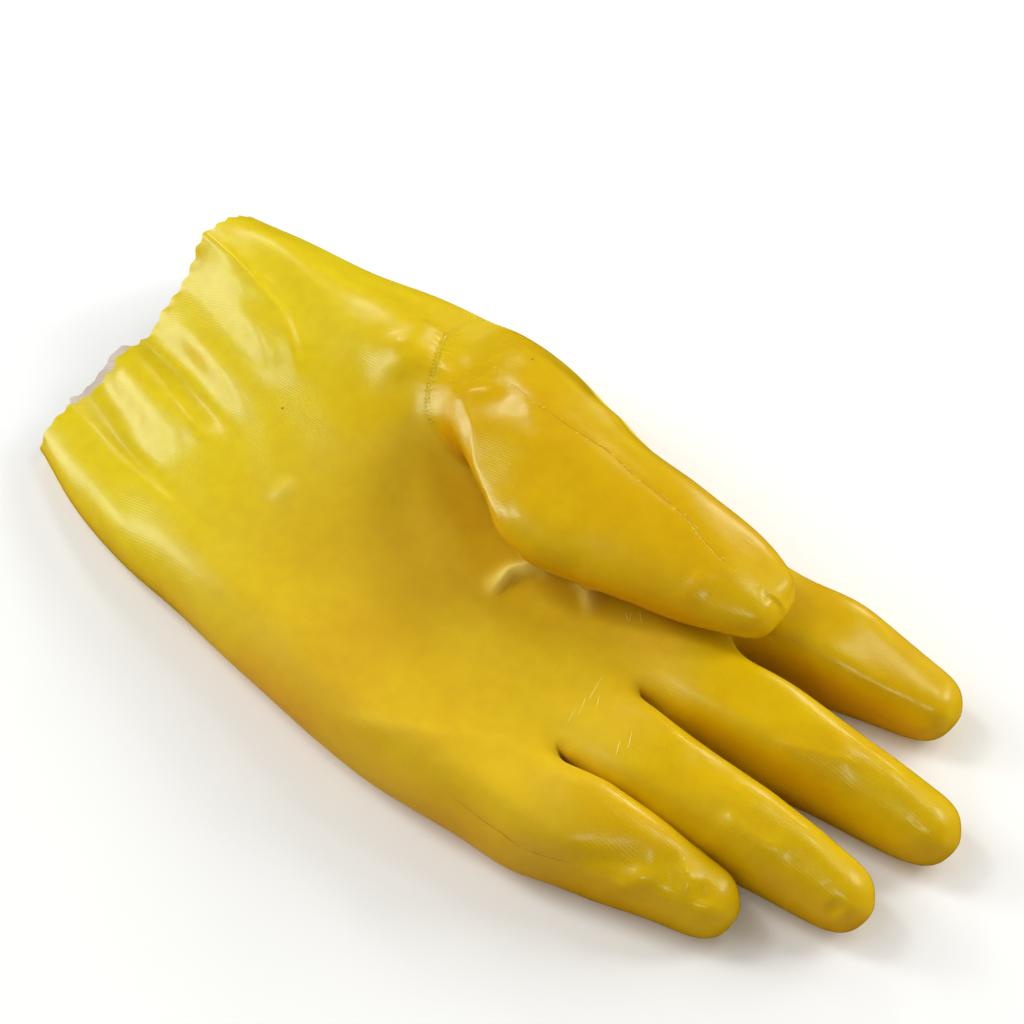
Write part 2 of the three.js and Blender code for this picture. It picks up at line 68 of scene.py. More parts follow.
# Sections across the hand. crown is the palm's height at each share of the way across, from the near edge.
CROWN_SHARES = [0, 0.09, 0.2, 0.32, 0.45, 0.6, 0.74, 0.88, 1]
SECTIONS = table("x near_y far_y near_z far_z crown", [
    (-122, -58, 42, 4, 11, [8, 10, 11, 10, 13, 19, 28, 26, 17]),
    (-105, -66, 43, 5, 11, [9, 13, 14, 15, 19, 25, 29, 28, 18]),
    (-88, -72, 44, 6, 12, [11, 16, 18, 20, 24, 28, 30, 28, 19]),
    (-70, -77, 46, 8, 12, [13, 19, 21, 23, 26, 29, 30, 28, 21]),
    (-52, -80, 48, 9, 13, [15, 21, 22, 23, 26, 30, 32, 30, 22]),
    (-35, -83, 49, 10, 13, [17, 23, 21, 22, 25, 29, 33, 30, 22]),
    (-18, -86, 48, 11, 13, [20, 24, 20, 19, 20, 22, 25, 26, 21]),
    (0, -89, 45, 12, 12, [23, 25, 21, 19, 18.5, 18, 18.5, 20.5, 20]),
    (18, -91, 40, 12, 12, [24, 26, 21.5, 18.5, 17.5, 17, 17, 18, 18]),
    (36, -91, 34, 12, 12, [24, 26, 22, 20, 19, 18.5, 18.5, 18.5, 18]),
    (52, -90, 30, 12, 12, [23, 26, 23, 22, 21, 21, 22, 21, 18]),
    (70, -89, 27, 12, 12, [22, 25, 24, 24, 24, 24, 24, 22, 18]),
])

# Folds and dents of the upper side, each from one point to another, with its crest's height and its width
FOLDS = table("name from_x from_y to_x to_y height width", [
    ("cuff ridge", -124, 17, -64, -8, 4, 5),
    ("cuff valley by the ridge", -124, -11, -72, -31, -3.5, 5),
    ("middle cuff ridge", -124, -21, -76, -38, 3.5, 5),
    ("near cuff valley", -124, -33, -76, -52, -3, 5),
    ("wrist bump", -66, 18, -44, 14, 3, 10),
    ("dent over the thumb's root", -30, 24, -22, 18, -4, 8),
])
FOLD_FADE_FROM = 0.65
FOLD_FADE_OVER = 0.5

# The cage: rows from the cuff's mouth to the finger roots, and columns across the palm, four to a finger
ROW_X = [
    -122, -115, -107, -99, -91, -83, -75, -67, -58, -49, -40,
    -31, -22, -12.5, -3, 6.5, 16, 25, 34, 43, 51.5, 60,
]
COLUMNS = 16
RING_COLUMNS = 2 * (COLUMNS + 1) + 2
FINGER_COLUMNS = 4
FINGER_SIDE_COLUMNS = 2
EDGE_SHARE = 0.035
EDGE_RISE = 0.12

# The line of the finger roots, from the little finger's side to the index finger's side
ROOT_SHARES = [0, 0.25, 0.5, 0.75, 1]
ROOT_X = [54, 55, 60, 72, 74]
ROOT_BEND = 60
GROOVE_LENGTH = 16
GROOVE_DEPTH = 2
WEB_SETBACK = 1

# The hole that the thumb is set into: its rows and columns, and the pulls that round its corners
HOLE_FIRST_ROW, HOLE_LAST_ROW = 10, 15
HOLE_FIRST_COLUMN, HOLE_LAST_COLUMN = 10, 16
HOLE_PULLS = table("x y move_x move_y reach", [
    (-40, -2, 11, 3, 15),
    (6.5, -2, -6, 13, 16),
])

# Fingers: where each starts and where its tip is, and its widths and heights at root, middle and tip
FINGERS = table("root_y tip_x tip_y widths heights", [
    (-76.5, 116, -66.2, [26, 23.5, 20], [25, 24, 18]),
    (-49, 141, -47.2, [25.2, 25.4, 21], [26, 25, 19]),
    (-22, 148, -18.8, [25.4, 26.4, 22], [26, 25, 19]),
    (9.5, 130, 14, [33, 28, 21], [25, 24, 18]),
])
FINGER_STEP = 8
TIP_ROUNDING = 0.62
TIP_ANGLES = [32, 56, 74]
TIP_SQUARENESS = 2.5

# Thumb: each section's upper and lower line, seen from the side, and its near and far edges
THUMB_SECTIONS = table("top_x top_z under_x under_z near_y far_y", [
    (-28, 36.5, 10, 20.8, -3.5, 39),
    (-18, 39.5, 14, 21, -10.5, 35.5),
    (-8, 41, 19, 21.3, -16.5, 31.5),
    (3, 42, 25, 21.7, -22, 28),
    (13, 42.5, 32, 22, -24.5, 25),
    (23, 42.5, 39, 22.3, -23.8, 23),
    (33, 42.5, 46, 22.8, -22.3, 21.5),
    (43, 42.5, 53, 23.2, -20.7, 20),
    (54, 42, 61, 23.6, -18.7, 18.5),
    (64, 41, 69, 24, -16.5, 16.5),
    (73, 39.5, 76.5, 24.8, -14, 13.5),
    (81, 37, 83, 26, -10.5, 9.5),
])

# How square a tube's section is, at its root and along it, and over how many rings it grows out of its root
ROUND_SECTION = 2.2
SQUARE_ROOT_SECTION = 4.2
SQUARE_ROOT_RINGS = 5
FINGER_BLEND_RINGS = 3
THUMB_BLEND_RINGS = 2.5
FINGER_ROOT_WIDTH = 0.9
CAP_INSET = 0.85
CAP_BULGE = 0.42

# How finely the cage is subdivided
SMOOTH_LEVEL = 3

# Which piece a quad of the cage belongs to, and what is added to that where the lining lies under it
PALM, BACK, THUMB = 0, 1, 2
CUFF_MARK = 4

# The camera stands where the photograph was taken from. Lines that the photograph shows on the skin are given
# as pixels of its 1024 x 1024 frame, and are laid on the skin by the camera's rays, one every PIXEL_STEP.
PHOTO_SIZE = 1024
CAMERA_AZIMUTH = 37
CAMERA_ELEVATION = 50
CAMERA_DISTANCE = 620
CAMERA_TARGET = (0, 0, 10)
CAMERA_FOCAL = 2300
PIXEL_STEP = 3

# Creases, crests and dents that the photograph shows, each along a line of its pixels. height is in
# millimetres, as are left and right, the widths to the line's two sides. A sharp one has a fold's crest.
DETAILS = table("name height left right sharp pixels", [
    ("cuff crest", 1.4, 1.1, 5, True,
     [(207, 236), (229, 254), (252, 276), (270, 297), (283, 313), (291, 332), (297, 356), (301, 385)]),
    ("bulge under the crest", 0.8, 3, 4, False, [(228, 290), (250, 320), (268, 356), (276, 390)]),
    ("first bulge", 0.9, 4, 4, False, [(168, 312), (196, 342), (236, 382), (266, 414)]),
    ("first cuff hollow", -1.2, 4.5, 4.5, False,
     [(154, 335), (180, 364), (212, 400), (240, 433), (268, 465)]),
    ("second crest", 0.6, 2, 6, True,
     [(144, 345), (153, 369), (167, 389), (180, 404), (194, 427), (210, 448)]),
    ("second bulge", 1.1, 5, 6, False, [(126, 375), (140, 396), (163, 429), (185, 460)]),
    ("second cuff hollow", -1.0, 4.5, 3, False, [(88, 400), (120, 436), (158, 476), (205, 524)]),
    ("near cuff crease", 0.15, 1, 3, True,
     [(83, 417), (104, 436), (126, 457), (150, 481), (176, 508), (195, 533)]),
    ("near cuff bulge", 0.7, 4, 4, False, [(60, 440), (85, 470), (110, 510), (128, 550), (150, 585)]),
    ("short bright dent", 0.8, 2.5, 2.5, False, [(268, 504), (300, 476)]),
    ("wrist bump", 1.6, 8, 7, False, [(392, 328), (402, 352), (412, 384)]),
    ("wrist bump by the seam", 0.8, 5, 5, False, [(420, 318), (436, 338)]),
    ("wrist hollow", -0.8, 6, 6, False, [(352, 330), (362, 372), (372, 420)]),
    ("facet by the thumb's seam", -1.0, 8, 8, False, [(452, 385), (464, 366), (484, 360)]),
    ("thumb's fold", 1.1, 2.6, 3.4, False, [(452, 414), (458, 402), (472, 393), (490, 390), (510, 392)]),
    ("thumb's sharp edge", 0.8, 1.6, 1.4, True,
     [(456, 400), (468, 412), (474, 428), (474, 446), (476, 464), (484, 484), (496, 506), (510, 528)]),
    ("thumb's bulge", 1.0, 5, 6, False, [(512, 390), (522, 408), (532, 434), (544, 470)]),
    ("thumb's hollow by the seam", -0.7, 4, 3, False,
     [(520, 372), (556, 400), (600, 430), (650, 468), (700, 520)]),
    ("thumb's far ridge", 0.7, 3, 4, False,
     [(500, 338), (538, 356), (580, 392), (640, 436), (700, 486), (757, 541)]),
    ("thumb's last bulge", 0.6, 4, 5, False, [(688, 574), (712, 592)]),
    ("thumb tip's crinkle", -0.35, 1.2, 1.2, True, [(760, 592), (772, 600), (781, 610)]),
    ("thumb tip's second crinkle", 0.5, 1.2, 1.6, True, [(768, 590), (779, 600), (786, 612)]),
    ("thumb's corner", 2.6, 8, 5, False,
     [(486, 492), (498, 512), (511, 530), (528, 546), (552, 562), (580, 576)]),
    ("fold in the thumb's web", 3.4, 3, 1, False,
     [(488, 600), (500, 585), (514, 575), (536, 572), (558, 582)]),
    ("second fold in the web", 2.2, 2.4, 1.4, False, [(585, 584), (588, 600), (591, 622)]),
    ("palm's fold to the ring finger", 0.7, 4, 5, False, [(560, 745), (600, 758), (650, 790)]),
    ("near ridge", 0.9, 2.5, 4, False, [(300, 700), (360, 722), (430, 735), (500, 741), (540, 747)]),
    ("filled crotch by the little finger", 1.2, 3, 3, False,
     [(540, 730), (554, 741), (568, 751), (586, 766)]),
    ("filled crotch by the ring finger", 0.6, 3, 3, False, [(620, 668), (632, 680), (644, 692), (660, 708)]),
    ("ring finger's root edge", 1.6, 4, 7, False, [(628, 688), (650, 716), (680, 744), (712, 770)]),
    ("little finger's far edge", 3.6, 6, 9, False,
     [(504, 744), (552, 768), (600, 798), (650, 834), (690, 862), (714, 882), (732, 908)]),
    ("ring finger's far edge", 2.6, 5, 7, False,
     [(700, 758), (730, 780), (765, 806), (808, 842), (840, 872), (856, 896)]),
    ("middle finger's far edge", 2.4, 5, 7, False,
     [(790, 700), (820, 722), (850, 745), (888, 774), (925, 808), (944, 834)]),
    ("ring finger's crest", 1.0, 2, 3, True, [(722, 812), (740, 830), (764, 846), (790, 853)]),
    ("middle finger's crest", 0.8, 2, 3, True, [(772, 740), (790, 746), (822, 756), (862, 771)]),
    ("little finger's crest", 0.5, 2, 3, True, [(640, 800), (676, 826), (700, 844), (716, 862)]),
    ("hollow on the little finger", -1.4, 4, 3, False, [(560, 846), (600, 860), (640, 864), (664, 862)]),
    ("bump on the little finger", 1.2, 2.4, 2.4, False, [(612, 886), (634, 880), (652, 868)]),
    ("hollow by its tip", -1.2, 3, 3, False, [(650, 850), (668, 868), (678, 900)]),
    ("bump by its tip", 1.0, 2.2, 2.2, False, [(676, 862), (686, 880), (692, 900)]),
    ("hollow at its tip", -0.8, 2.2, 2.2, False, [(694, 880), (702, 896), (704, 908)]),
    ("hollow by the ring finger's tip", -0.7, 2.5, 2.5, False, [(826, 902), (842, 916)]),
])

# Details that have their full height at the mouth's edge, where their lines start
MOUTH_DETAILS = ("cuff crest", "second crest", "second bulge", "near cuff crease")

# Folds that get a painted highlight, a pale tint mixed into the coat's colour along their crests, and how
# strong it is
PAINTED_HIGHLIGHT_DETAILS = {"fold in the thumb's web": 0.85, "second fold in the web": 0.6, "short bright dent": 0.2}

# Where the skin is smoothed, at the thumb's root and in two finger crotches: the middles of those places,
# their radius, the rounds of smoothing, and the least pull that still moves a place
RELAXED_PIXELS = [(441, 424), (562, 752), (642, 694)]
RELAXED_RADIUS = 8
RELAXED_ROUNDS = 40
LEAST_PULL = 0.01

# Hairline creases in the coat, as pixels of the photograph: where the coat was bent. Their raised beads are
# paler than the coat, a painted highlight along each.
CREASE_HALF_WIDTH = 0.16
CREASE_HEIGHT = 0.14
CREASES = [
    [(603, 676), (594, 690), (588, 700)],
    [(600, 694), (596, 708)],
    [(586, 696), (580, 712), (578, 716)],
    [(576, 708), (567, 724)],
    [(632, 732), (630, 742), (627, 752)],
    [(620, 742), (616, 758)],
    [(640, 611), (642, 623)],
    [(632, 611), (629, 622)],
    [(626, 612), (628, 621)],
]

# Seams: the thumb's base and top seams and the outseam, as pixels of the photograph where it shows them
BASE_SEAM = [
    (486, 318), (470, 321), (456, 327), (447, 334), (440, 348), (434, 366), (429, 384), (427, 400),
    (429, 416), (434, 428),
]
THUMB_SEAM = [
    (494, 364), (504, 380), (521, 390), (539, 406), (559, 419), (579, 433), (607, 449), (633, 473),
    (659, 493), (681, 512), (692, 523), (700, 536), (720, 558), (746, 579), (768, 594), (781, 606),
]
OUTSEAM = [
    (432, 778), (441, 787), (463, 806), (482, 822), (500, 834), (518, 848), (545, 858), (572, 864),
    (600, 870),
]

# How a detail falls off beside its line, to how many times its width it reaches, and over which share of its
# length it fades at each end
SHARPNESS = 0.25
DETAIL_REACH = 3
TAPER_SHARE = 0.4
SHARP_TAPER_SHARE = 0.22
LEAST_FADE = 1

# The coat's gentle unevenness
LUMP_SEED = 7
LUMP_HEIGHT = 0.32
LUMP_LENGTHS = [13, 16, 19, 23, 27, 31, 36, 42]

# The pinked edge at the mouth: its teeth, and how deep into the cuff they are drawn out of the skin
MOUTH_REACH = 9
TOOTH_PITCH = 5.2
TOOTH_LEAST = 0.3
TOOTH_DRIFT = 0.45
COAT_TOOTH = 0.8
LINING_TOOTH = 0.7
TOOTH_FADE = 3.5
COAT_TOOTH_SEED = 3
LINING_TOOTH_SEED = 5

# Seams: the numbers that the skin keeps for the coat's material, how deep they draw it in, and their stitches
SEAM_NUMBERS = ("base_side", "base_along", "base_nearness", "line_side", "line_along", "line_nearness")
SKIN_NUMBERS = (*SEAM_NUMBERS, "paleness")
LINE_SEAM_DEPTH = 0.25
BASE_SEAM_DEPTH = 0.3
SEAM_WIDTH = 1.1
SEAM_REACH = 12
BASE_STITCH = {
    "pitch": 1.25, "length": 0.45, "aside": 0.5, "lean": 0.38,
    "half_width": 0.22, "height": 0.2, "unevenness": 0.25, "chance": 1,
}
TOP_STITCH = {
    "pitch": 1.6, "length": 0.6, "aside": 0.4, "lean": 0.15,
    "half_width": 0.13, "height": 0.07, "unevenness": 0.5, "chance": 0.4,
}
TOP_STITCH_SEED = 4
BEAD_SHARES = [0.1, 0.35, 0.65, 0.9]
BEAD_SIDES = 6
STITCH_JITTER = 0.15
STITCH_HOLE_AT = 0.2
PUCKER_PITCH = 2.7
HOLE_RADII = (0.4, 0.1)
PUCKER_SIDES = (5, 1.2)
CRACK_SIDES = (0.3, 0.08)

# Jersey: its columns and rows of stitches, where it turns from level to steep, and where its gaps begin
KNIT_COLUMN = 0.72
KNIT_ROW = 0.56
KNIT_SLANT = 0.9
KNIT_DRIFT = 0.9
KNIT_LEVEL = (0.45, 0.75)
KNIT_GAPS = (0.2, -0.9)

# Noise: its size in millimetres and its detail. Patches also have the values that they begin and end between.
KNIT_WANDER_X, KNIT_WANDER_Y = (6, 1), (9, 1)
HOLE_WANDER = (2.2, 2)
WAVES = (7, 3)
FINE_GRAIN = (0.8, 1)
SMUDGES = (14, 3)
CREASE_HIGHLIGHT_NOISE, CRAZING_GRAIN = (1.5, 3), (0.4, 3)
FLUFF = (0.5, 4)
FLOOR_CLOUDS = (60, 2)
PALE_PATCHES = (38, 2, 0.35, 0.7)
MOTTLE = (4.5, 4, 0.35, 0.65)
CRACK_PARTS = (3.2, 2, 0.38, 0.5)
PINK_PATCHES = (12, 3, 0.3, 0.7)

# How high the bumps of the looks are, in millimetres
BUMPS = {
    "waves": 0.16, "puckers": 0.04, "holes and cracks": -0.1, "grain": 0.03, "gloss": 0.018,
    "coat's knit": 0.012, "crazing": 0.03, "fluff": 0.15, "cotton's knit": 0.08,
}

# Colours on a screen, from 0 to 255, and where along the glove the coat turns from one to the next
LEMON = (225, 200, 2)
GOLD = (212, 167, 0)
DEEP_GOLD = (218, 173, 0)
PALE_YELLOW = (226, 199, 4)
# Painted shade: the orange mixed into the coat where it faces the near side and down
PAINTED_SHADE_ORANGE = (214, 138, 0)
OCHRE = (184, 132, 0)
BROWN = (96, 58, 4)
GLOSS_TINT = (214, 255, 205)
# The pale of the painted highlights on the sharpest folds and on the hairline creases
HIGHLIGHT_PALE = (250, 232, 120)
COTTON_WHITE = (216, 203, 185)
COTTON_PINK = (200, 182, 166)
COTTON_SHADE = (176, 150, 138)
FLOOR_LIGHT = (251, 251, 251)
FLOOR_DARK = (247, 247, 248)
CUFF_COLOUR_X = -100
PALM_COLOUR_X = -10
FINGER_COLOUR_X = 90

# The coat's near side, by the direction that it faces, where painted shade deepens it to orange, and the dark
# specks
PAINTED_SHADE_UP = (0.8, 0.0)
PAINTED_SHADE_ACROSS = (0.1, -0.5)
SPECK_SPACING = 12
SPECK_RADII = (0.5, 0.2)
EMPTY_CELLS = 0.8

# The greatest share of each tint in a colour
PAINTED_SHADE_SHARE = 0.5
PALE_SHARE = 0.35
MOTTLE_SHARE = 0.12
COAT_KNIT_SHARE = 0.12
COTTON_KNIT_SHARE = 0.35
CRACK_SHARE = 0.7
HOLE_SHARE = 0.25
SPECK_SHARE = 0.85

# The coat's gloss. It is more matt at the cuff, and more still in the hollow of the palm, in millimetres.
LEAST_ROUGHNESS = 0.19
SMUDGE_ROUGHNESS = 0.12
CUFF_ROUGHNESS = 0.11
PALM_ROUGHNESS = 0.45
MATT_CUFF_X = (-20, -80)
MATT_PALM_X = [(-70, -40), (75, 50)]
MATT_PALM_Z = (29, 25)
GLOSS_WEIGHT = 0.2
CRAZED_ROUGHNESS = 0.35
FLOOR_ROUGHNESS = 0.8

# What is the same all over the coat and all over the cotton
COAT_VALUES = {
    "Specular IOR Level": 0.5, "Coat Roughness": 0.2,
    "Subsurface Weight": 0.25, "Subsurface Radius": (1, 0.45, 0.05), "Subsurface Scale": 2 * MM,
}
COTTON_VALUES = {"Roughness": 0.95, "Sheen Weight": 0.25, "Sheen Roughness": 0.5}

# Light, in degrees, metres and watts: soft panels that all stand equally far away, and the room
PANELS = table("name azimuth elevation size power gloss", [
    ("finger_fill", 60, 15, 1.5, 29, False),
    ("near_fill", 210, 54, 1.5, 9.5, False),
    ("cuff_panel", 192, 9, 0.75, 9, True),
    ("back_panel", 136, 28, 0.3, 3, True),
    ("bulge_panel", 191, 54, 0.4, 6, True),
    ("finger_panel", 65, 56, 0.35, 3, True),
    ("tip_panel", 50, 34, 0.45, 5, True),
    ("ridge_panel", 96, 20, 0.45, 3.6, True),
    ("streak_panel", 197, 31, 0.5, 7, True),
    ("crest_panel", 315, 50, 0.3, 3.5, True),
])
PANEL_DISTANCE = 2.0
GLOSS_COLOUR = (0.96, 1.0, 1.0)
FILL_COLOUR = (1.0, 1.0, 1.0)
ROOM_COLOUR = (1.0, 0.94, 0.85, 1)
ROOM_STRENGTH = 0.3
FLOOR_HALF_SIZE = 1.6
SENSOR_WIDTH = 36


def smooth_step(t):
    u = np.clip(t, 0, 1)
    return u * u * (3 - 2 * u)


def unit(vectors):
    """The vectors with their lengths made 1."""
    return vectors / np.maximum(np.linalg.norm(vectors, axis=-1, keepdims=True), 1e-9)


def curve_at(xs, ys, x):
    """The value at x of a smooth curve through the points (xs, ys)."""
    last = len(xs) - 1
    x = min(xs[last], max(xs[0], x))
    i = 0
    while i < last - 1 and x >= xs[i + 1]:
        i += 1

    def slope(k):
        before, after = max(k - 1, 0), min(k + 1, last)
        return (ys[after] - ys[before]) / (xs[after] - xs[before])

    step = xs[i + 1] - xs[i]
    t = (x - xs[i]) / step
    start_share = 2 * t**3 - 3 * t**2 + 1
    start_slope = (t**3 - 2 * t**2 + t) * step * slope(i)
    end_slope = (t**3 - t**2) * step * slope(i + 1)
    return start_share * ys[i] + start_slope + (1 - start_share) * ys[i + 1] + end_slope


def section_at(column, x):
    """One column of the hand's sections at x."""
    return curve_at([row["x"] for row in SECTIONS], [row[column] for row in SECTIONS], x)


def crown_at(x, share):
    """The palm's height at x and a share of the way across."""
    xs = [row["x"] for row in SECTIONS]
    heights = [curve_at(xs, [row["crown"][k] for row in SECTIONS], x) for k in range(len(CROWN_SHARES))]
    return curve_at(CROWN_SHARES, heights, share)


def fold_height(x, y):
    """What the folds and dents add to the height at a point of the upper side."""
    total = 0.0
    for fold in FOLDS:
        run_x, run_y = fold["to_x"] - fold["from_x"], fold["to_y"] - fold["from_y"]
        length = math.hypot(run_x, run_y)
        dx, dy = x - fold["from_x"], y - fold["from_y"]
        along = (dx * run_x + dy * run_y) / length**2
        away = abs(dy * run_x - dx * run_y) / length
        fade = smooth_step((FOLD_FADE_FROM + FOLD_FADE_OVER - along) / FOLD_FADE_OVER)
        total += fold["height"] * math.exp(-((away / fold["width"]) ** 2)) * fade
    return total


class Cage:
    """The quads that the smooth skin is worked out from, each marked with the piece that it belongs to."""

    def __init__(self):
        self.points = []
        self.quads = []
        self.marks = []

    def add_point(self, x, y, z):
        self.points.append((float(x), float(y), float(z)))
        return len(self.points) - 1

    def add_quad(self, mark, *corners):
        self.quads.append(corners)
        self.marks.append(mark)


def make_hand_rows(cage):
    """The hand's rows: the palm's points, the back's points, and one point along each side."""
    rows = []
    last_x = ROW_X[-1]
    for row_x in ROW_X:
        palm, back = [], []
        bend = smooth_step(row_x / ROOT_BEND)
        groove = smooth_step((row_x - last_x + GROOVE_LENGTH) / GROOVE_LENGTH)
        for column in range(COLUMNS + 1):
            share = EDGE_SHARE + (1 - 2 * EDGE_SHARE) * column / COLUMNS
            x = row_x + bend * (curve_at(ROOT_SHARES, ROOT_X, share) - last_x)
            near_y, far_y = section_at("near_y", x), section_at("far_y", x)
            y = near_y + share * (far_y - near_y)
            palm_x, palm_y = x, y
            for pull in HOLE_PULLS:
                away = math.hypot(palm_x - pull["x"], palm_y - pull["y"])
                nearness = math.exp(-((away / pull["reach"]) ** 2))
                palm_x += pull["move_x"] * nearness
                palm_y += pull["move_y"] * nearness
            palm_z = crown_at(palm_x, (palm_y - near_y) / (far_y - near_y))
            back_z = 0.0
            if column in (0, COLUMNS):
                back_z = EDGE_RISE * section_at("near_z" if column == 0 else "far_z", x)
            else:
                palm_z += fold_height(palm_x, palm_y)
                if column % FINGER_COLUMNS == 0:
                    palm_z -= GROOVE_DEPTH * groove
                    back_z += GROOVE_DEPTH * groove
            palm.append(cage.add_point(palm_x, palm_y, palm_z))
            back.append(cage.add_point(x, y, back_z))
        near_x, far_x = cage.points[palm[0]][0], cage.points[palm[-1]][0]
        near = cage.add_point(near_x, section_at("near_y", near_x), section_at("near_z", near_x))
        far = cage.add_point(far_x, section_at("far_y", far_x), section_at("far_z", far_x))
        rows.append({"palm": palm, "back": back, "near": near, "far": far})
    return rows


def in_thumb_hole(row, column):
    in_rows = HOLE_FIRST_ROW <= row < HOLE_LAST_ROW
    return in_rows and HOLE_FIRST_COLUMN <= column < HOLE_LAST_COLUMN


def add_hand_quads(cage, rows):
    """The quads from each of the hand's rows to the next, all the way round, but for the thumb's hole."""
    rings = [row["palm"] + [row["far"]] + row["back"][::-1] + [row["near"]] for row in rows]
    for i, (here, after) in enumerate(zip(rings, rings[1:])):
        cuff = CUFF_MARK if i < LINING_ROWS else 0
        for k in range(RING_COLUMNS):
            over = (k + 1) % RING_COLUMNS
            side = BACK if COLUMNS < k < RING_COLUMNS - 1 else PALM
            if not in_thumb_hole(i, k):
                cage.add_quad(side + cuff, here[k], after[k], after[over], here[over])


def ring_square(across_count, down_count):
    """Where each point of a ring lies on a square from -1 to 1: over the top, down, back and up again."""
    square = [(-1 + 2 * k / across_count, 1.0) for k in range(across_count + 1)]
    square += [(1.0, 1 - 2 * k / down_count) for k in range(1, down_count)]
    square += [(1 - 2 * k / across_count, -1.0) for k in range(across_count + 1)]
    square += [(-1.0, -1 + 2 * k / down_count) for k in range(1, down_count)]
    return square


def add_tube(cage, tube):
    """A tube that grows out of a loop of points through a list of rings, closed at its tip.

    Its upper and its lower half can belong to two pieces, which meet halfway down its sides.
    """
    loop, across_count, down_count = tube["loop"], tube["across_count"], tube["down_count"]
    square = ring_square(across_count, down_count)
    far_side = across_count + down_count / 2
    near_side = len(square) - down_count / 2
    roots = np.array([cage.points[index] for index in loop])
    carried = (roots - roots.mean(axis=0)) * (1, tube["root_width"], 1)
    previous = loop
    for step, ring in enumerate(tube["rings"]):
        grown = smooth_step((step + 1) / tube["blend_rings"])
        power = tube["squareness"](step)
        ids = []
        for k, (across, up) in enumerate(square):
            size = (abs(across) ** power + abs(up) ** power) ** (1 / power)
            shaped = ring["centre"] + ring["half"] * across / size + ring["rise"] * up / size
            point = (1 - grown) * (carried[k] + ring["centre"]) + grown * shaped
            if tube["folded"] and up > 0:
                point[2] += up * fold_height(point[0], point[1])
            ids.append(cage.add_point(*point))
        for k, index in enumerate(ids):
            over = (k + 1) % len(ids)
            mark = tube["lower_mark"] if far_side <= k < near_side else tube["upper_mark"]
            cage.add_quad(mark, previous[k], index, ids[over], previous[over])
        previous = ids
    add_cap(cage, tube, previous)


def add_cap(cage, tube, ring):
    """The closed end of a tube: a small bulged patch of quads inside its last ring."""
    across_count, down_count = tube["across_count"], tube["down_count"]
    last, before = tube["rings"][-1], tube["rings"][-2]
    forward = unit(last["centre"] - before["centre"])
    radius = min(np.linalg.norm(last["half"]), np.linalg.norm(last["rise"]))
    patch = []
    for down in range(down_count + 1):
        row = []
        for k in range(across_count + 1):
            if down == 0:
                row.append(ring[k])
            elif down == down_count:
                row.append(ring[2 * across_count + down_count - k])
            elif k == 0:
                row.append(ring[len(ring) - down])
            elif k == across_count:
                row.append(ring[across_count + down])
            else:
                across, up = -1 + 2 * k / across_count, 1 - 2 * down / down_count
                bulge = CAP_BULGE * radius * math.sqrt((1 - across**2) * (1 - up**2))
                inset = CAP_INSET * (across * last["half"] + up * last["rise"])
                row.append(cage.add_point(*(last["centre"] + inset + bulge * forward)))
        patch.append(row)
    for down, (here, after) in enumerate(zip(patch, patch[1:])):
        mark = tube["upper_mark"] if down < down_count / 2 else tube["lower_mark"]
        for k in range(across_count):
            cage.add_quad(mark, here[k], after[k], after[k + 1], here[k + 1])


def size_along(sizes, t):
    """A size that goes from its root value through its middle value to its tip value."""
    return float(np.interp(t, (0, 0.5, 1), sizes))


def finger_rings(finger, root_x):
    length = finger["tip_x"] - root_x
    tip_radius = TIP_ROUNDING * finger["heights"][2]
    straight = length - tip_radius
    sideways = finger["tip_y"] - finger["root_y"]
    slant = math.atan2(sideways, length)
    step_count = round(length / FINGER_STEP) - len(TIP_ANGLES)
    distances = [straight * k / step_count for k in range(1, step_count + 1)]
    distances += [straight + tip_radius * math.sin(math.radians(angle)) for angle in TIP_ANGLES]
    rings = []
    for distance in distances:
        t = min(1, distance / straight)
        into_tip = max(0, (distance - straight) / tip_radius)
        narrowing = (1 - into_tip**TIP_SQUARENESS) ** (1 / TIP_SQUARENESS)
        width = size_along(finger["widths"], t) * narrowing
        height = size_along(finger["heights"], t)
        y = finger["root_y"] + sideways * distance / length
        rings.append({
            "centre": np.array([root_x + distance, y, height / 2]),
            "half": np.array([-math.sin(slant), math.cos(slant), 0]) * width / 2,
            "rise": np.array([0, 0, height * narrowing / 2]),
        })
    return rings


def finger_squareness(step):
    rounding = smooth_step(step / SQUARE_ROOT_RINGS)
    return SQUARE_ROOT_SECTION + (ROUND_SECTION - SQUARE_ROOT_SECTION) * rounding


def add_fingers(cage, rows):
    last = rows[-1]
    webs = {0: last["near"], COLUMNS: last["far"]}
    for column in range(FINGER_COLUMNS, COLUMNS, FINGER_COLUMNS):
        above, below = cage.points[last["palm"][column]], cage.points[last["back"][column]]
        web_x = (above[0] + below[0]) / 2 - WEB_SETBACK
        webs[column] = cage.add_point(web_x, above[1], (above[2] + below[2]) / 2)
    for order, finger in enumerate(FINGERS):
        first = FINGER_COLUMNS * order
        end = first + FINGER_COLUMNS
        loop = last["palm"][first : end + 1] + [webs[end]]
        loop += last["back"][first : end + 1][::-1] + [webs[first]]
        root_x = sum(cage.points[index][0] for index in loop) / len(loop)
        add_tube(cage, {
            "upper_mark": PALM,
            "lower_mark": BACK,
            "loop": loop,
            "across_count": FINGER_COLUMNS,
            "down_count": FINGER_SIDE_COLUMNS,
            "rings": finger_rings(finger, root_x),
            "blend_rings": FINGER_BLEND_RINGS,
            "root_width": FINGER_ROOT_WIDTH,
            "squareness": finger_squareness,
            "folded": False,
        })


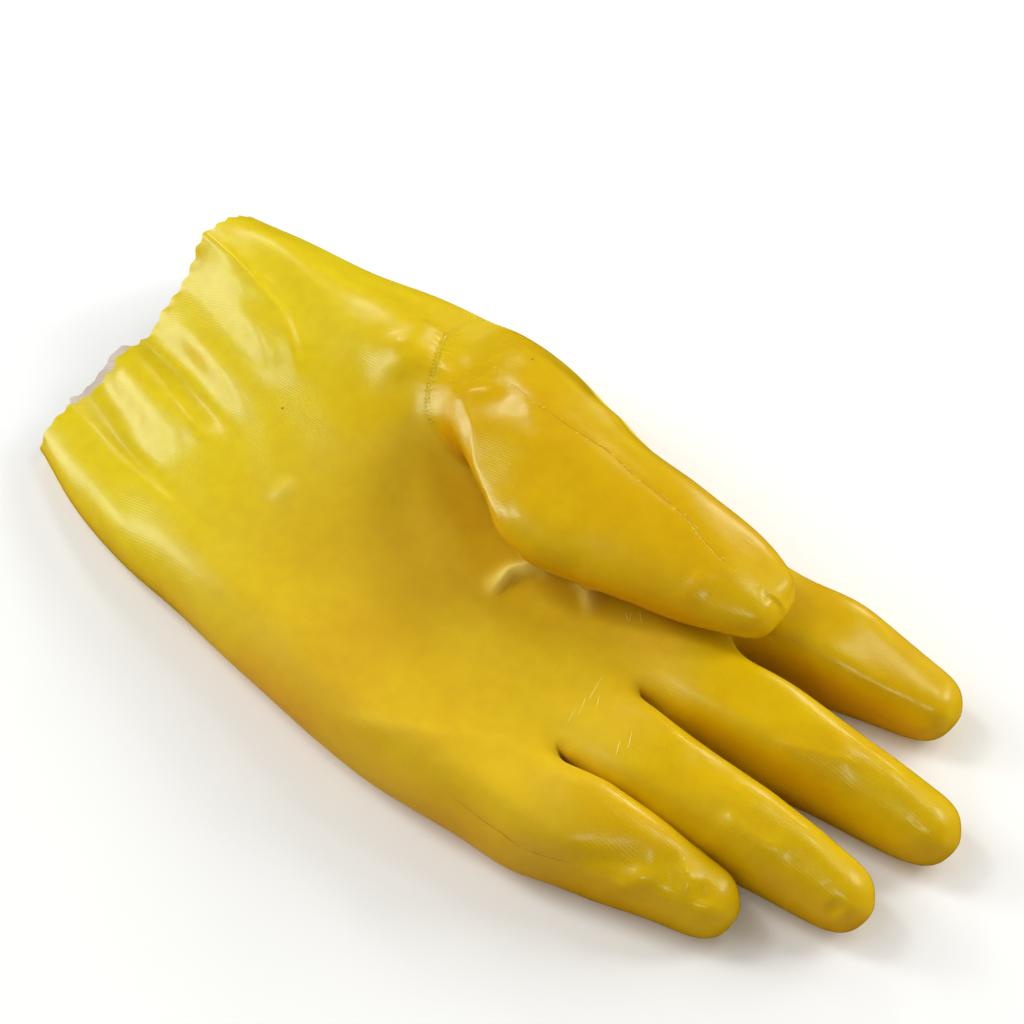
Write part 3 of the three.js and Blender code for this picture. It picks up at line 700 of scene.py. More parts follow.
def thumb_hole_loop(rows):
    """The points round the thumb's hole, in a ring's order: cuff side, far side, finger side, near side."""
    first, last = rows[HOLE_FIRST_ROW]["palm"], rows[HOLE_LAST_ROW]["palm"]
    between = [row["palm"] for row in rows[HOLE_FIRST_ROW + 1 : HOLE_LAST_ROW]]
    loop = first[HOLE_FIRST_COLUMN : HOLE_LAST_COLUMN + 1]
    loop += [palm[HOLE_LAST_COLUMN] for palm in between]
    loop += last[HOLE_FIRST_COLUMN : HOLE_LAST_COLUMN + 1][::-1]
    return loop + [palm[HOLE_FIRST_COLUMN] for palm in between[::-1]]


def add_thumb(cage, loop):
    rings = []
    for section in THUMB_SECTIONS:
        top = np.array([section["top_x"], section["far_y"], section["top_z"]])
        under = np.array([section["under_x"], section["near_y"], section["under_z"]])
        rings.append({
            "centre": (top + under) / 2,
            "half": (top - under) / 2 * (0, 1, 0),
            "rise": (top - under) / 2 * (1, 0, 1),
        })
    add_tube(cage, {
        "upper_mark": THUMB,
        "lower_mark": THUMB,
        "loop": loop,
        "across_count": HOLE_LAST_COLUMN - HOLE_FIRST_COLUMN,
        "down_count": HOLE_LAST_ROW - HOLE_FIRST_ROW,
        "rings": rings,
        "blend_rings": THUMB_BLEND_RINGS,
        "root_width": 1,
        "squareness": lambda step: ROUND_SECTION,
        "folded": True,
    })


def smooth_skin(cage):
    """The smooth surface of the cage: its places, its quads and their marks."""
    mesh = bpy.data.meshes.new("cage")
    mesh.from_pydata(cage.points, [], cage.quads)
    mesh.polygons.foreach_set("material_index", cage.marks)
    holder = bpy.data.objects.new("cage", mesh)
    bpy.context.scene.collection.objects.link(holder)
    modifier = holder.modifiers.new("smooth", "SUBSURF")
    modifier.levels = SMOOTH_LEVEL
    modifier.use_limit_surface = True
    smooth = holder.evaluated_get(bpy.context.evaluated_depsgraph_get()).to_mesh()
    places = np.empty(3 * len(smooth.vertices))
    smooth.vertices.foreach_get("co", places)
    quads = np.empty(len(smooth.loops), dtype=np.int64)
    smooth.loops.foreach_get("vertex_index", quads)
    marks = np.empty(len(smooth.polygons), dtype=np.int64)
    smooth.polygons.foreach_get("material_index", marks)
    bpy.data.objects.remove(holder)
    bpy.data.meshes.remove(mesh)
    return places.reshape(-1, 3), quads.reshape(-1, 4), marks


def facings_of(places, quads):
    """The outward direction at each place of a surface."""
    facing = np.cross(places[quads[:, 2]] - places[quads[:, 0]], places[quads[:, 3]] - places[quads[:, 1]])
    sums = np.zeros_like(places)
    for corner in range(4):
        np.add.at(sums, quads[:, corner], facing)
    return unit(sums)


def direction(azimuth, elevation):
    """Where an azimuth and an elevation in degrees point."""
    azimuth, elevation = math.radians(azimuth), math.radians(elevation)
    level = math.cos(elevation)
    return np.array([math.cos(azimuth) * level, math.sin(azimuth) * level, math.sin(elevation)])


def camera_axes():
    """The camera's right, its up and the way back from its target to it."""
    back = direction(CAMERA_AZIMUTH - 90, CAMERA_ELEVATION)
    right = direction(CAMERA_AZIMUTH, 0)
    return right, np.cross(back, right), back


class Line:
    """A line that lies on the skin: its places, the skin's facings there and the lengths along it."""

    def __init__(self, places, facings):
        self.places = np.array(places, dtype=float)
        self.facings = np.array(facings, dtype=float)
        ahead, behind = np.roll(self.places, -1, axis=0), np.roll(self.places, 1, axis=0)
        ahead[-1], behind[0] = self.places[-1], self.places[0]
        self.runs = unit(ahead - behind)
        steps = np.linalg.norm(np.diff(self.places, axis=0), axis=1)
        self.along = np.concatenate([[0], np.cumsum(steps)])
        self.length = self.along[-1]

    def measure(self, places, reach):
        """Which places lie within reach, how far to the line's left each lies, and how far along the line."""
        low, high = self.places.min(axis=0) - reach, self.places.max(axis=0) + reach
        near = np.flatnonzero(np.all((places > low) & (places < high), axis=1))
        if not len(near):
            return near, np.zeros(0), np.zeros(0)
        away = np.linalg.norm(places[near, None] - self.places[None], axis=2)
        closest = away.argmin(axis=1)
        offset = places[near] - self.places[closest]
        forward = np.sum(offset * self.runs[closest], axis=1)
        past = ((closest == 0) & (forward < 0)) | ((closest == len(self.places) - 1) & (forward > 0))
        aside = offset - forward[:, None] * self.runs[closest]
        distance = np.where(past, np.linalg.norm(offset, axis=1), np.linalg.norm(aside, axis=1))
        leftward = np.cross(self.facings[closest], self.runs[closest])
        side = np.where(np.sum(aside * leftward, axis=1) < 0, -1, 1)
        along = self.along[closest] + np.where(past, 0, forward)
        kept = distance < reach
        return near[kept], (distance * side)[kept], along[kept]

    def at(self, along):
        """The place, the facing and the run at a length along the line."""
        place, facing, run = (
            np.array([np.interp(along, self.along, values[:, k]) for k in range(3)])
            for values in (self.places, self.facings, self.runs)
        )
        return place, unit(facing), unit(run)


class View:
    """The photograph's view of the skin, which lays lines of its pixels on the skin."""

    def __init__(self, tree, target):
        self.tree = tree
        self.right, self.up, self.back = camera_axes()
        self.stand = target + self.back * CAMERA_DISTANCE

    def spot(self, pixel):
        """The place and the facing of the skin at a pixel, or None for both where the pixel misses it."""
        across, down = ((value - PHOTO_SIZE / 2) / CAMERA_FOCAL for value in pixel)
        ray = Vector(across * self.right - down * self.up - self.back)
        return self.tree.ray_cast(Vector(self.stand), ray)[:2]

    def line(self, pixels):
        spots = []
        for start, end in zip(pixels, pixels[1:]):
            count = max(2, round(math.dist(start, end) / PIXEL_STEP))
            for share in np.linspace(0, 1, count, endpoint=end == pixels[-1]):
                spots.append(self.spot([a + (b - a) * share for a, b in zip(start, end)]))
        places, facings = zip(*[spot for spot in spots if spot[0] is not None])
        return Line(places, facings)


def line_profile(side, left, right, sharp):
    """How much of a detail's height is left at a distance to the line's left: 1 on the line, 0 far away."""
    share = np.abs(side) / np.where(side > 0, left, right)
    if sharp:
        return np.exp(-np.sqrt(share**2 + SHARPNESS**2) + SHARPNESS)
    return np.exp(-(share**2))


def taper_along(along, length, share=TAPER_SHARE, from_start=True):
    """Fades a detail out over the end of its line, and in over its start unless it starts at full height."""
    fade = max(LEAST_FADE, share * length)
    faded_out = smooth_step((length - along) / fade)
    return faded_out * smooth_step(along / fade) if from_start else faded_out


def detail_heights(view, places):
    """What the photograph's creases, crests and dents add to the skin, and how much painted highlight, a pale
    tint, some of them lay on its coat.
    """
    heights, paleness = np.zeros(len(places)), np.zeros(len(places))
    for detail in DETAILS:
        line = view.line(detail["pixels"])
        reach = DETAIL_REACH * max(detail["left"], detail["right"])
        near, side, along = line.measure(places, reach)
        profile = line_profile(side, detail["left"], detail["right"], detail["sharp"])
        taper_share = SHARP_TAPER_SHARE if detail["sharp"] else TAPER_SHARE
        fades_in = detail["name"] not in MOUTH_DETAILS
        share = profile * taper_along(along, line.length, taper_share, fades_in)
        heights[near] += detail["height"] * share
        # Painted highlight: a pale tint along the listed folds
        paleness[near] += PAINTED_HIGHLIGHT_DETAILS.get(detail["name"], 0) * share
    return heights, paleness


def lump_heights(places):
    """A gentle unevenness all over: a sum of waves in seeded random directions."""
    random = np.random.default_rng(LUMP_SEED)
    heights = np.zeros(len(places))
    for length in LUMP_LENGTHS:
        wave = random.normal(size=3)
        wave *= 2 * math.pi / (length * np.linalg.norm(wave))
        heights += np.sin(places @ wave + random.uniform(0, 2 * math.pi))
    return LUMP_HEIGHT * heights / math.sqrt(len(LUMP_LENGTHS))


def relaxed(places, quads, centre):
    """The skin made smoother round a centre, where each place moves to the middle of its neighbours."""
    pull = np.exp(-((np.linalg.norm(places - centre, axis=1) / RELAXED_RADIUS) ** 2))
    moves = pull > LEAST_PULL
    near = quads[np.any(moves[quads], axis=1)]
    for _ in range(RELAXED_ROUNDS):
        sums, counts = np.zeros_like(places), np.zeros(len(places))
        for corner in range(4):
            np.add.at(sums, near[:, corner], places[near[:, corner - 1]] + places[near[:, corner - 3]])
            np.add.at(counts, near[:, corner], 2)
        middles = sums / np.maximum(counts, 1)[:, None]
        places = np.where(moves[:, None], places + pull[:, None] * (middles - places), places)
    return places


def border_loop(quads, start):
    """The places along the border of the skin, in order, from start and back to it."""
    edges = {}
    for quad in quads.tolist():
        for k in range(4):
            edges[quad[k], quad[(k + 1) % 4]] = True
    after = {a: b for a, b in edges if (b, a) not in edges}
    loop = [start]
    while after[loop[-1]] != start:
        loop.append(after[loop[-1]])
    return loop


def mouth_measures(places, mouth):
    """The places near the mouth, how deep in it each is, how far round it, as a length and as a share, and
    the whole way round.
    """
    ring = places[mouth]
    round_steps = np.linalg.norm(np.roll(ring, -1, axis=0) - ring, axis=1)
    rounds = np.concatenate([[0], np.cumsum(round_steps)[:-1]])
    depth = places[:, 0] - ring[:, 0].mean()
    near = np.flatnonzero(depth < MOUTH_REACH)
    away = np.linalg.norm(places[near, None, 1:] - ring[None, :, 1:], axis=2)
    closest = away.argmin(axis=1)
    return near, depth[near], rounds[closest], closest / len(mouth), round_steps.sum()


def pinked(rounds, whole, seed):
    """The cut edge's teeth: how far each point of the edge stands out, from -1 to 1."""
    random = np.random.default_rng(seed)
    count = round(whole / TOOTH_PITCH)
    turn = count * rounds / whole
    teeth = 2 * np.abs(2 * (turn - np.floor(turn)) - 1) - 1
    sizes = random.uniform(TOOTH_LEAST, 1, count + 1)
    sizes[-1] = sizes[0]
    drift = random.uniform(-TOOTH_DRIFT, TOOTH_DRIFT, count + 1)
    drift[-1] = drift[0]
    knots = np.arange(count + 1)
    return teeth * np.interp(turn, knots, sizes) + np.interp(turn, knots, drift)


def make_object(name, places, faces, facings=None):
    """A mesh object from places in millimetres, with the skin's own facings as its normals if given."""
    mesh = bpy.data.meshes.new(name)
    mesh.from_pydata((MM * np.asarray(places)).tolist(), [], list(faces))
    mesh.shade_smooth()
    if facings is not None:
        mesh.normals_split_custom_set_from_vertices(facings.tolist())
    piece = bpy.data.objects.new(name, mesh)
    bpy.context.scene.collection.objects.link(piece)
    return piece


def make_wall(name, outer, facings, quads, thickness):
    """A wall: its outer skin, the same skin turned inward at its thickness, and the rim between the two."""
    count = len(outer)
    starts = quads.reshape(-1)
    ends = np.roll(quads, -1, axis=1).reshape(-1)
    open_edge = ~np.isin(starts * count + ends, ends * count + starts)
    starts, ends = starts[open_edge], ends[open_edge]
    rim = np.stack([ends, starts, starts + count, ends + count], axis=1)
    faces = np.concatenate([quads, quads[:, ::-1] + count, rim])
    both = np.concatenate([outer, outer - thickness * facings])
    return make_object(name, both, faces.tolist(), np.concatenate([facings, -facings]))


def add_number(piece, name, values):
    """A number at each of the mesh's places, for its material to read."""
    attribute = piece.data.attributes.new(name, "FLOAT", "POINT")
    attribute.data.foreach_set("value", np.asarray(values, dtype=np.float32))


class Beads:
    """Small tapered beads that lie on the skin, as one joined mesh: raised stitches and hairline creases."""

    def __init__(self, tree):
        self.tree = tree
        self.places = []
        self.faces = []

    def add(self, line, start, end, aside, lean, half_width, height):
        """A bead from start to end along a line, which leans from one side of its middle to the other."""
        first = len(self.places)
        for share in (0, *BEAD_SHARES, 1):
            place, facing, run = line.at(start + (end - start) * share)
            leftward = np.cross(facing, run)
            beside = place + (aside + lean * (2 * share - 1)) * leftward
            spot = np.array(self.tree.find_nearest(Vector(beside))[0])
            if share in (0, 1):
                self.places.append(spot)
                continue
            swell = math.sqrt(1 - (2 * share - 1) ** 2)
            for k in range(BEAD_SIDES):
                angle = 2 * math.pi * k / BEAD_SIDES
                across = leftward * half_width * math.cos(angle)
                self.places.append(spot + swell * (across + facing * height * math.sin(angle)))
        self.add_faces(first)

    def add_faces(self, first):
        rings = [first + 1 + BEAD_SIDES * k for k in range(len(BEAD_SHARES))]
        last = len(self.places) - 1
        for k in range(BEAD_SIDES):
            over = (k + 1) % BEAD_SIDES
            self.faces.append((first, rings[0] + over, rings[0] + k))
            self.faces.append((last, rings[-1] + k, rings[-1] + over))
            for here, after in zip(rings, rings[1:]):
                self.faces.append((here + k, here + over, after + over, after + k))


def add_row_of_stitches(beads, line, stitch, aside, jitter_seed):
    """Stitches one after another along a line, each a little uneven."""
    random = np.random.default_rng(jitter_seed)
    for k in range(int(line.length / stitch["pitch"])):
        start = k * stitch["pitch"] + random.uniform(0, STITCH_JITTER)
        size = random.uniform(1 - stitch["unevenness"], 1 + stitch["unevenness"])
        end = start + stitch["length"] * size
        lean, half_width, height = (size * stitch[part] for part in ("lean", "half_width", "height"))
        if random.uniform() < stitch["chance"]:
            beads.add(line, start, end, aside, lean, half_width, height)


def linear(colour):
    """A screen colour as the shader's linear one."""
    return (*(((value / 255 + 0.055) / 1.055) ** 2.4 for value in colour), 1)


class Shader:
    """A material's node tree, with short ways to add its nodes."""

    def __init__(self, name):
        self.material = bpy.data.materials.new(name)
        self.material.use_nodes = True
        self.tree = self.material.node_tree

    def add(self, kind, inputs=None, **settings):
        node = self.tree.nodes.new(kind)
        for name, value in settings.items():
            setattr(node, name, value)
        self.feed(node, inputs or {})
        return node

    def feed(self, node, inputs):
        """Links other nodes' outputs to a node's inputs, or sets its inputs to plain values."""
        for key, value in inputs.items():
            if isinstance(value, bpy.types.NodeSocket):
                self.tree.links.new(value, node.inputs[key])
            else:
                node.inputs[key].default_value = value

    def finished(self, inputs):
        """The material, with its surface's inputs."""
        self.feed(self.tree.nodes["Principled BSDF"], inputs)
        return self.material

    def math(self, operation, *values):
        return self.add("ShaderNodeMath", dict(enumerate(values)), operation=operation).outputs[0]

    def product(self, first, *others):
        for value in others:
            first = self.math("MULTIPLY", first, value)
        return first

    def step(self, value, start, end):
        """A smooth step from 0 to 1 as value goes from start to end."""
        inputs = {"Value": value, "From Min": start, "From Max": end}
        return self.add("ShaderNodeMapRange", inputs, interpolation_type="SMOOTHSTEP").outputs["Result"]

    def mix(self, factor, first, second):
        """The two colours mixed. The node has a set of inputs for each kind of data, so they go by number."""
        inputs = {0: factor, 6: first, 7: second}
        return self.add("ShaderNodeMix", inputs, data_type="RGBA").outputs[2]

    def tinted(self, colour, *tints):
        """A colour with others mixed in, each given as where it goes, its greatest share and its tone."""
        for amount, share, tone in tints:
            colour = self.mix(self.product(amount, share), colour, linear(tone))
        return colour

    def noise(self, place, size, detail):
        inputs = {"Vector": place, "Scale": 1 / size, "Detail": detail}
        return self.add("ShaderNodeTexNoise", inputs).outputs["Fac"]

    def patches(self, place, size, detail, start, end):
        """Patches of noise, from 0 between them to 1 on them."""
        return self.step(self.noise(place, size, detail), start, end)

    def place(self):
        """The place on the object in millimetres, as a vector and as its three numbers."""
        spot = self.add("ShaderNodeTexCoord").outputs["Object"]
        scaled = self.add("ShaderNodeVectorMath", {0: spot, "Scale": 1 / MM}, operation="SCALE").outputs[0]
        return scaled, *self.add("ShaderNodeSeparateXYZ", {0: scaled}).outputs

    def facing(self):
        """The three numbers of the direction that the surface faces."""
        normal = self.add("ShaderNodeNewGeometry").outputs["Normal"]
        return self.add("ShaderNodeSeparateXYZ", {0: normal}).outputs

    def bump(self, height, distance, normal=None):
        """A bump with its height in millimetres, over another bump's normal if given."""
        inputs = {"Height": height, "Distance": distance * MM, "Strength": 1}
        if normal is not None:
            inputs["Normal"] = normal
        return self.add("ShaderNodeBump", inputs).outputs["Normal"]

    def attribute(self, name):
        return self.add("ShaderNodeAttribute", attribute_name=name).outputs["Fac"]

    def knit(self, along, across):
        """Jersey: rows of small slanted stitches, mirrored from each column to the next. From -1 to 1."""
        slant = self.product(self.math("PINGPONG", across, KNIT_COLUMN / 2), KNIT_SLANT)
        rows = self.math("SINE", self.product(self.math("ADD", along, slant), 2 * math.pi / KNIT_ROW))
        columns = self.math("COSINE", self.product(across, 2 * math.pi / KNIT_COLUMN))
        return self.product(self.math("ADD", rows, columns), 0.5)

    def knit_all_over(self):
        """Jersey laid from above where the surface is level, and from the side on its steep sides."""
        place, x, y, z = self.place()
        x = self.math("MULTIPLY_ADD", self.noise(place, *KNIT_WANDER_X), KNIT_DRIFT, x)
        y = self.math("MULTIPLY_ADD", self.noise(place, *KNIT_WANDER_Y), KNIT_DRIFT, y)
        level = self.step(self.math("ABSOLUTE", self.facing()[2]), *KNIT_LEVEL)
        from_above = self.product(self.knit(x, y), level)
        from_side = self.product(self.knit(x, z), self.math("SUBTRACT", 1, level))
        return self.math("ADD", from_above, from_side)


def make_coat_material():
    """Glossy yellow PVC over jersey, lemon at the cuff and golden to the fingers. The knit shows through.
    Painted shade turns its near side orange, and a painted highlight pales its sharpest folds.
    """
    shader = Shader("yellow_coat")
    place, x, _, z = shader.place()
    knit = shader.knit_all_over()
    crack = seam_crack(shader, place)
    holes, puckers = stitch_marks(shader, place)
    _, across, up = shader.facing()
    # Painted shade: where the coat faces sideways to the near side and down, it is tinted deeper orange
    near_side = shader.product(shader.step(up, *PAINTED_SHADE_UP), shader.step(across, *PAINTED_SHADE_ACROSS))
    colour = shader.mix(shader.step(x, CUFF_COLOUR_X, PALM_COLOUR_X), linear(LEMON), linear(GOLD))
    colour = shader.mix(shader.step(x, PALM_COLOUR_X, FINGER_COLOUR_X), colour, linear(DEEP_GOLD))
    colour = shader.tinted(
        colour,
        (near_side, PAINTED_SHADE_SHARE, PAINTED_SHADE_ORANGE),
        (shader.patches(place, *PALE_PATCHES), PALE_SHARE, PALE_YELLOW),
        (shader.patches(place, *MOTTLE), MOTTLE_SHARE, OCHRE),
        (shader.step(knit, *KNIT_GAPS), COAT_KNIT_SHARE, OCHRE),
        (crack, CRACK_SHARE, OCHRE),
        (holes, HOLE_SHARE, OCHRE),
        # Painted highlight: the pale tint along the sharpest folds
        (shader.attribute("paleness"), 1, HIGHLIGHT_PALE),
        (specks(shader, place), SPECK_SHARE, BROWN),
    )
    waves = shader.bump(shader.noise(place, *WAVES), BUMPS["waves"])
    waves = shader.bump(puckers, BUMPS["puckers"], waves)
    waves = shader.bump(shader.math("ADD", holes, crack), BUMPS["holes and cracks"], waves)
    fine = shader.noise(place, *FINE_GRAIN)
    grain = shader.bump(fine, BUMPS["grain"], waves)
    in_palm = shader.product(*(shader.step(x, *span) for span in MATT_PALM_X), shader.step(z, *MATT_PALM_Z))
    roughness = shader.math("MULTIPLY_ADD", shader.noise(place, *SMUDGES), SMUDGE_ROUGHNESS, LEAST_ROUGHNESS)
    roughness = shader.math("MULTIPLY_ADD", shader.step(x, *MATT_CUFF_X), CUFF_ROUGHNESS, roughness)
    return shader.finished({
        "Base Color": colour,
        "Normal": shader.bump(knit, BUMPS["coat's knit"], grain),
        "Coat Normal": shader.bump(fine, BUMPS["gloss"], waves),
        "Roughness": shader.math("MULTIPLY_ADD", in_palm, PALM_ROUGHNESS, roughness),
        "Coat Weight": shader.math("MULTIPLY_ADD", in_palm, -GLOSS_WEIGHT, GLOSS_WEIGHT),
        "Specular Tint": linear(GLOSS_TINT),
        **COAT_VALUES,
    })


def make_crease_material():
    """The creases' coat: paler than the coat round it, a painted highlight along each hairline crease, and
    dull in places.
    """
    shader = Shader("painted_highlight_creases")
    place = shader.place()[0]
    return shader.finished({
        # Painted highlight: the creases' colour wanders between the highlight's pale and pale yellow
        "Base Color": shader.mix(shader.noise(place, *CREASE_HIGHLIGHT_NOISE), linear(HIGHLIGHT_PALE), linear(PALE_YELLOW)),
        "Normal": shader.bump(shader.noise(place, *CRAZING_GRAIN), BUMPS["crazing"]),
        "Roughness": CRAZED_ROUGHNESS,
    })


def seam_crack(shader, place):
    """The thin broken line in the coat along the thumb's top seam and the outseam."""
    line = shader.step(shader.math("ABSOLUTE", shader.attribute("line_side")), *CRACK_SIDES)
    return shader.product(line, shader.patches(place, *CRACK_PARTS), shader.attribute("line_nearness"))


def stitch_marks(shader, place):
    """Along the seam at the thumb's base: the needle holes of its two rows, and the puckers beside it."""
    side = shader.math("ABSOLUTE", shader.attribute("base_side"))
    nearness = shader.attribute("base_nearness")
    wander = shader.math("SUBTRACT", shader.noise(place, *HOLE_WANDER), 0.5)
    along = shader.math("ADD", shader.attribute("base_along"), wander)
    off_row = shader.math("SUBTRACT", side, BASE_STITCH["aside"])
    phase = shader.math("PINGPONG", shader.math("ADD", along, STITCH_HOLE_AT), BASE_STITCH["pitch"] / 2)
    squares = shader.math("ADD", shader.math("POWER", off_row, 2), shader.math("POWER", phase, 2))
    holes = shader.product(shader.step(shader.math("SQRT", squares), *HOLE_RADII), nearness)
    wave = shader.math("SINE", shader.product(along, 2 * math.pi / PUCKER_PITCH))
    return holes, shader.product(wave, shader.step(side, *PUCKER_SIDES), nearness)


def specks(shader, place):
    """A few small dark specks in the coat."""
    cells = shader.add("ShaderNodeTexVoronoi", {"Vector": place, "Scale": 1 / SPECK_SPACING}).outputs
    chance = shader.add("ShaderNodeSeparateColor", {0: cells["Color"]}).outputs[0]
    dot = shader.step(cells["Distance"], *(radius / SPECK_SPACING for radius in SPECK_RADII))
    return shader.product(dot, shader.math("GREATER_THAN", chance, EMPTY_CELLS))


def make_cotton_material():
    """Off-white cotton jersey, a little pink and fluffy."""
    shader = Shader("cotton")
    place = shader.place()[0]
    knit = shader.knit_all_over()
    colour = shader.mix(shader.patches(place, *PINK_PATCHES), linear(COTTON_WHITE), linear(COTTON_PINK))
    fluff = shader.bump(shader.noise(place, *FLUFF), BUMPS["fluff"])
    return shader.finished({
        "Base Color": shader.tinted(colour, (shader.step(knit, *KNIT_GAPS), COTTON_KNIT_SHARE, COTTON_SHADE)),
        "Normal": shader.bump(knit, BUMPS["cotton's knit"], fluff),
        **COTTON_VALUES,
    })


def make_floor_material():
    """A pale matt studio floor."""
    shader = Shader("floor")
    cloud = shader.noise(shader.place()[0], *FLOOR_CLOUDS)
    colour = shader.mix(cloud, linear(FLOOR_LIGHT), linear(FLOOR_DARK))
    return shader.finished({"Base Color": colour, "Roughness": FLOOR_ROUGHNESS})


def finish_piece(piece, replaced=None):
    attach(piece, "root")
    if replaced:
        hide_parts(replaced)


def make_coated_piece(name, node, mark, skin, materials):
    """One coated piece as a wall: the glossy coat outside, and the cotton that it is bonded to inside."""
    used, quads = np.unique(skin["quads"][skin["marks"] % CUFF_MARK == mark], return_inverse=True)
    quads = quads.reshape(-1, 4)
    piece = make_wall(name, skin["places"][used], skin["facings"][used], quads, COATED_WALL)
    for material in materials:
        piece.data.materials.append(material)
    inside = np.zeros(len(piece.data.polygons), dtype=np.int32)
    inside[len(quads) : 2 * len(quads)] = 1
    piece.data.polygons.foreach_set("material_index", inside)
    for number in SKIN_NUMBERS:
        add_number(piece, number, np.tile(skin[number][used], 2))
    finish_piece(piece, node)


def make_lining(skin, mouth, material):
    """The lining's sleeve inside the cuff, with its own pinked edge past the coat's."""
    near, depth, rounds, share, whole = mouth_measures(skin["places"], mouth)
    # How far round the mouth each place is, in the cage's columns: first the palm's, then the back's
    ring = RING_COLUMNS * share
    on_back = (ring > COLUMNS + 1) & (ring < RING_COLUMNS - 1)
    back_share = np.where(on_back, np.sin(math.pi * (ring - COLUMNS - 1) / (COLUMNS + 2)), 0)
    shows = LINING_SHOWS_PALM + (LINING_SHOWS_BACK - LINING_SHOWS_PALM) * np.minimum(1, 2 * back_share)
    y = skin["places"][near, 1]
    peek = smooth_step((y - LINING_PEEK["from_y"]) / LINING_PEEK["fade"])
    peek *= smooth_step((LINING_PEEK["to_y"] - y) / LINING_PEEK["fade"])
    shows += np.where(ring < COLUMNS, LINING_PEEK["shows"] * peek, 0)
    teeth = LINING_TOOTH * pinked(rounds, whole, LINING_TOOTH_SEED)
    teeth *= smooth_step(1 - depth / TOOTH_FADE)
    shift = np.zeros_like(skin["places"])
    shift[near, 0] = shows * smooth_step(1 - depth / MOUTH_REACH) + teeth
    used, quads = np.unique(skin["quads"][skin["marks"] >= CUFF_MARK], return_inverse=True)
    facings = skin["facings"][used]
    outer = (skin["places"] - shift)[used] - (COATED_WALL + PIECE_GAP) * facings
    piece = make_wall("lining_sleeve", outer, facings, quads.reshape(-1, 4), LINING_WALL)
    piece.data.materials.append(material)
    finish_piece(piece, "cotton_lining")


def make_cage():
    """The whole cage, its rows across the hand, and how many of its points are the hand's."""
    cage = Cage()
    rows = make_hand_rows(cage)
    add_hand_quads(cage, rows)
    add_fingers(cage, rows)
    hand_points = len(cage.points)
    add_thumb(cage, thumb_hole_loop(rows))
    return cage, rows, hand_points


def add_seam_numbers(skin, lines):
    """How far each place is beside and along the thumb's base seam and the other seams, and how near them."""
    for name in SEAM_NUMBERS:
        skin[name] = np.zeros(len(skin["places"]))
    for kind, line in (("base", lines["base"]), ("line", lines["top"]), ("line", lines["out"])):
        near, side, along = line.measure(skin["places"], SEAM_REACH)
        nearness = smooth_step(2 - 2 * np.abs(side) / SEAM_REACH) * taper_along(along, line.length)
        skin[kind + "_side"][near] = side
        skin[kind + "_along"][near] = along
        skin[kind + "_nearness"][near] = nearness


def seam_heights(skin):
    """How the seams draw the skin in."""
    base = BASE_SEAM_DEPTH * np.exp(-((skin["base_side"] / SEAM_WIDTH) ** 2)) * skin["base_nearness"]
    line = LINE_SEAM_DEPTH * np.exp(-((skin["line_side"] / SEAM_WIDTH) ** 2)) * skin["line_nearness"]
    return -(base + line)


def make_skin():
    """The finished skin, the view that its lines are seen in, its seams and the loop round its mouth."""
    cage, rows, hand_points = make_cage()
    places, quads, marks = smooth_skin(cage)
    node_low = np.minimum(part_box("coated_palm")[0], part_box("coated_back")[0]) / MM
    shift = node_low - places[:hand_points].min(axis=0)
    places = places + shift
    target = np.array(CAMERA_TARGET) + shift
    rough_view = View(BVHTree.FromPolygons(places.tolist(), quads.tolist()), target)
    for pixel in RELAXED_PIXELS:
        places = relaxed(places, quads, rough_view.spot(pixel)[0])
    view = View(BVHTree.FromPolygons(places.tolist(), quads.tolist()), target)
    facings = facings_of(places, quads)
    skin = {"places": places, "quads": quads, "marks": marks}
    lines = {"base": view.line(BASE_SEAM), "top": view.line(THUMB_SEAM), "out": view.line(OUTSEAM)}
    add_seam_numbers(skin, lines)
    mouth = border_loop(quads, rows[0]["palm"][0])
    # The loop goes over the palm first, as the rows' columns do
    if mouth.index(rows[0]["palm"][1]) > len(mouth) / 2:
        mouth = mouth[:1] + mouth[:0:-1]
    heights, skin["paleness"] = detail_heights(view, places)
    heights += lump_heights(places) + seam_heights(skin)
    moved = places + facings * heights[:, None]
    near, depth, rounds, _, whole = mouth_measures(places, mouth)
    teeth = COAT_TOOTH * pinked(rounds, whole, COAT_TOOTH_SEED) * smooth_step(1 - depth / TOOTH_FADE)
    moved[near, 0] -= teeth
    moved[:, 2] = np.maximum(moved[:, 2], 0)
    skin["places"] = moved
    skin["facings"] = facings_of(moved, quads)
    return skin, view, lines, mouth


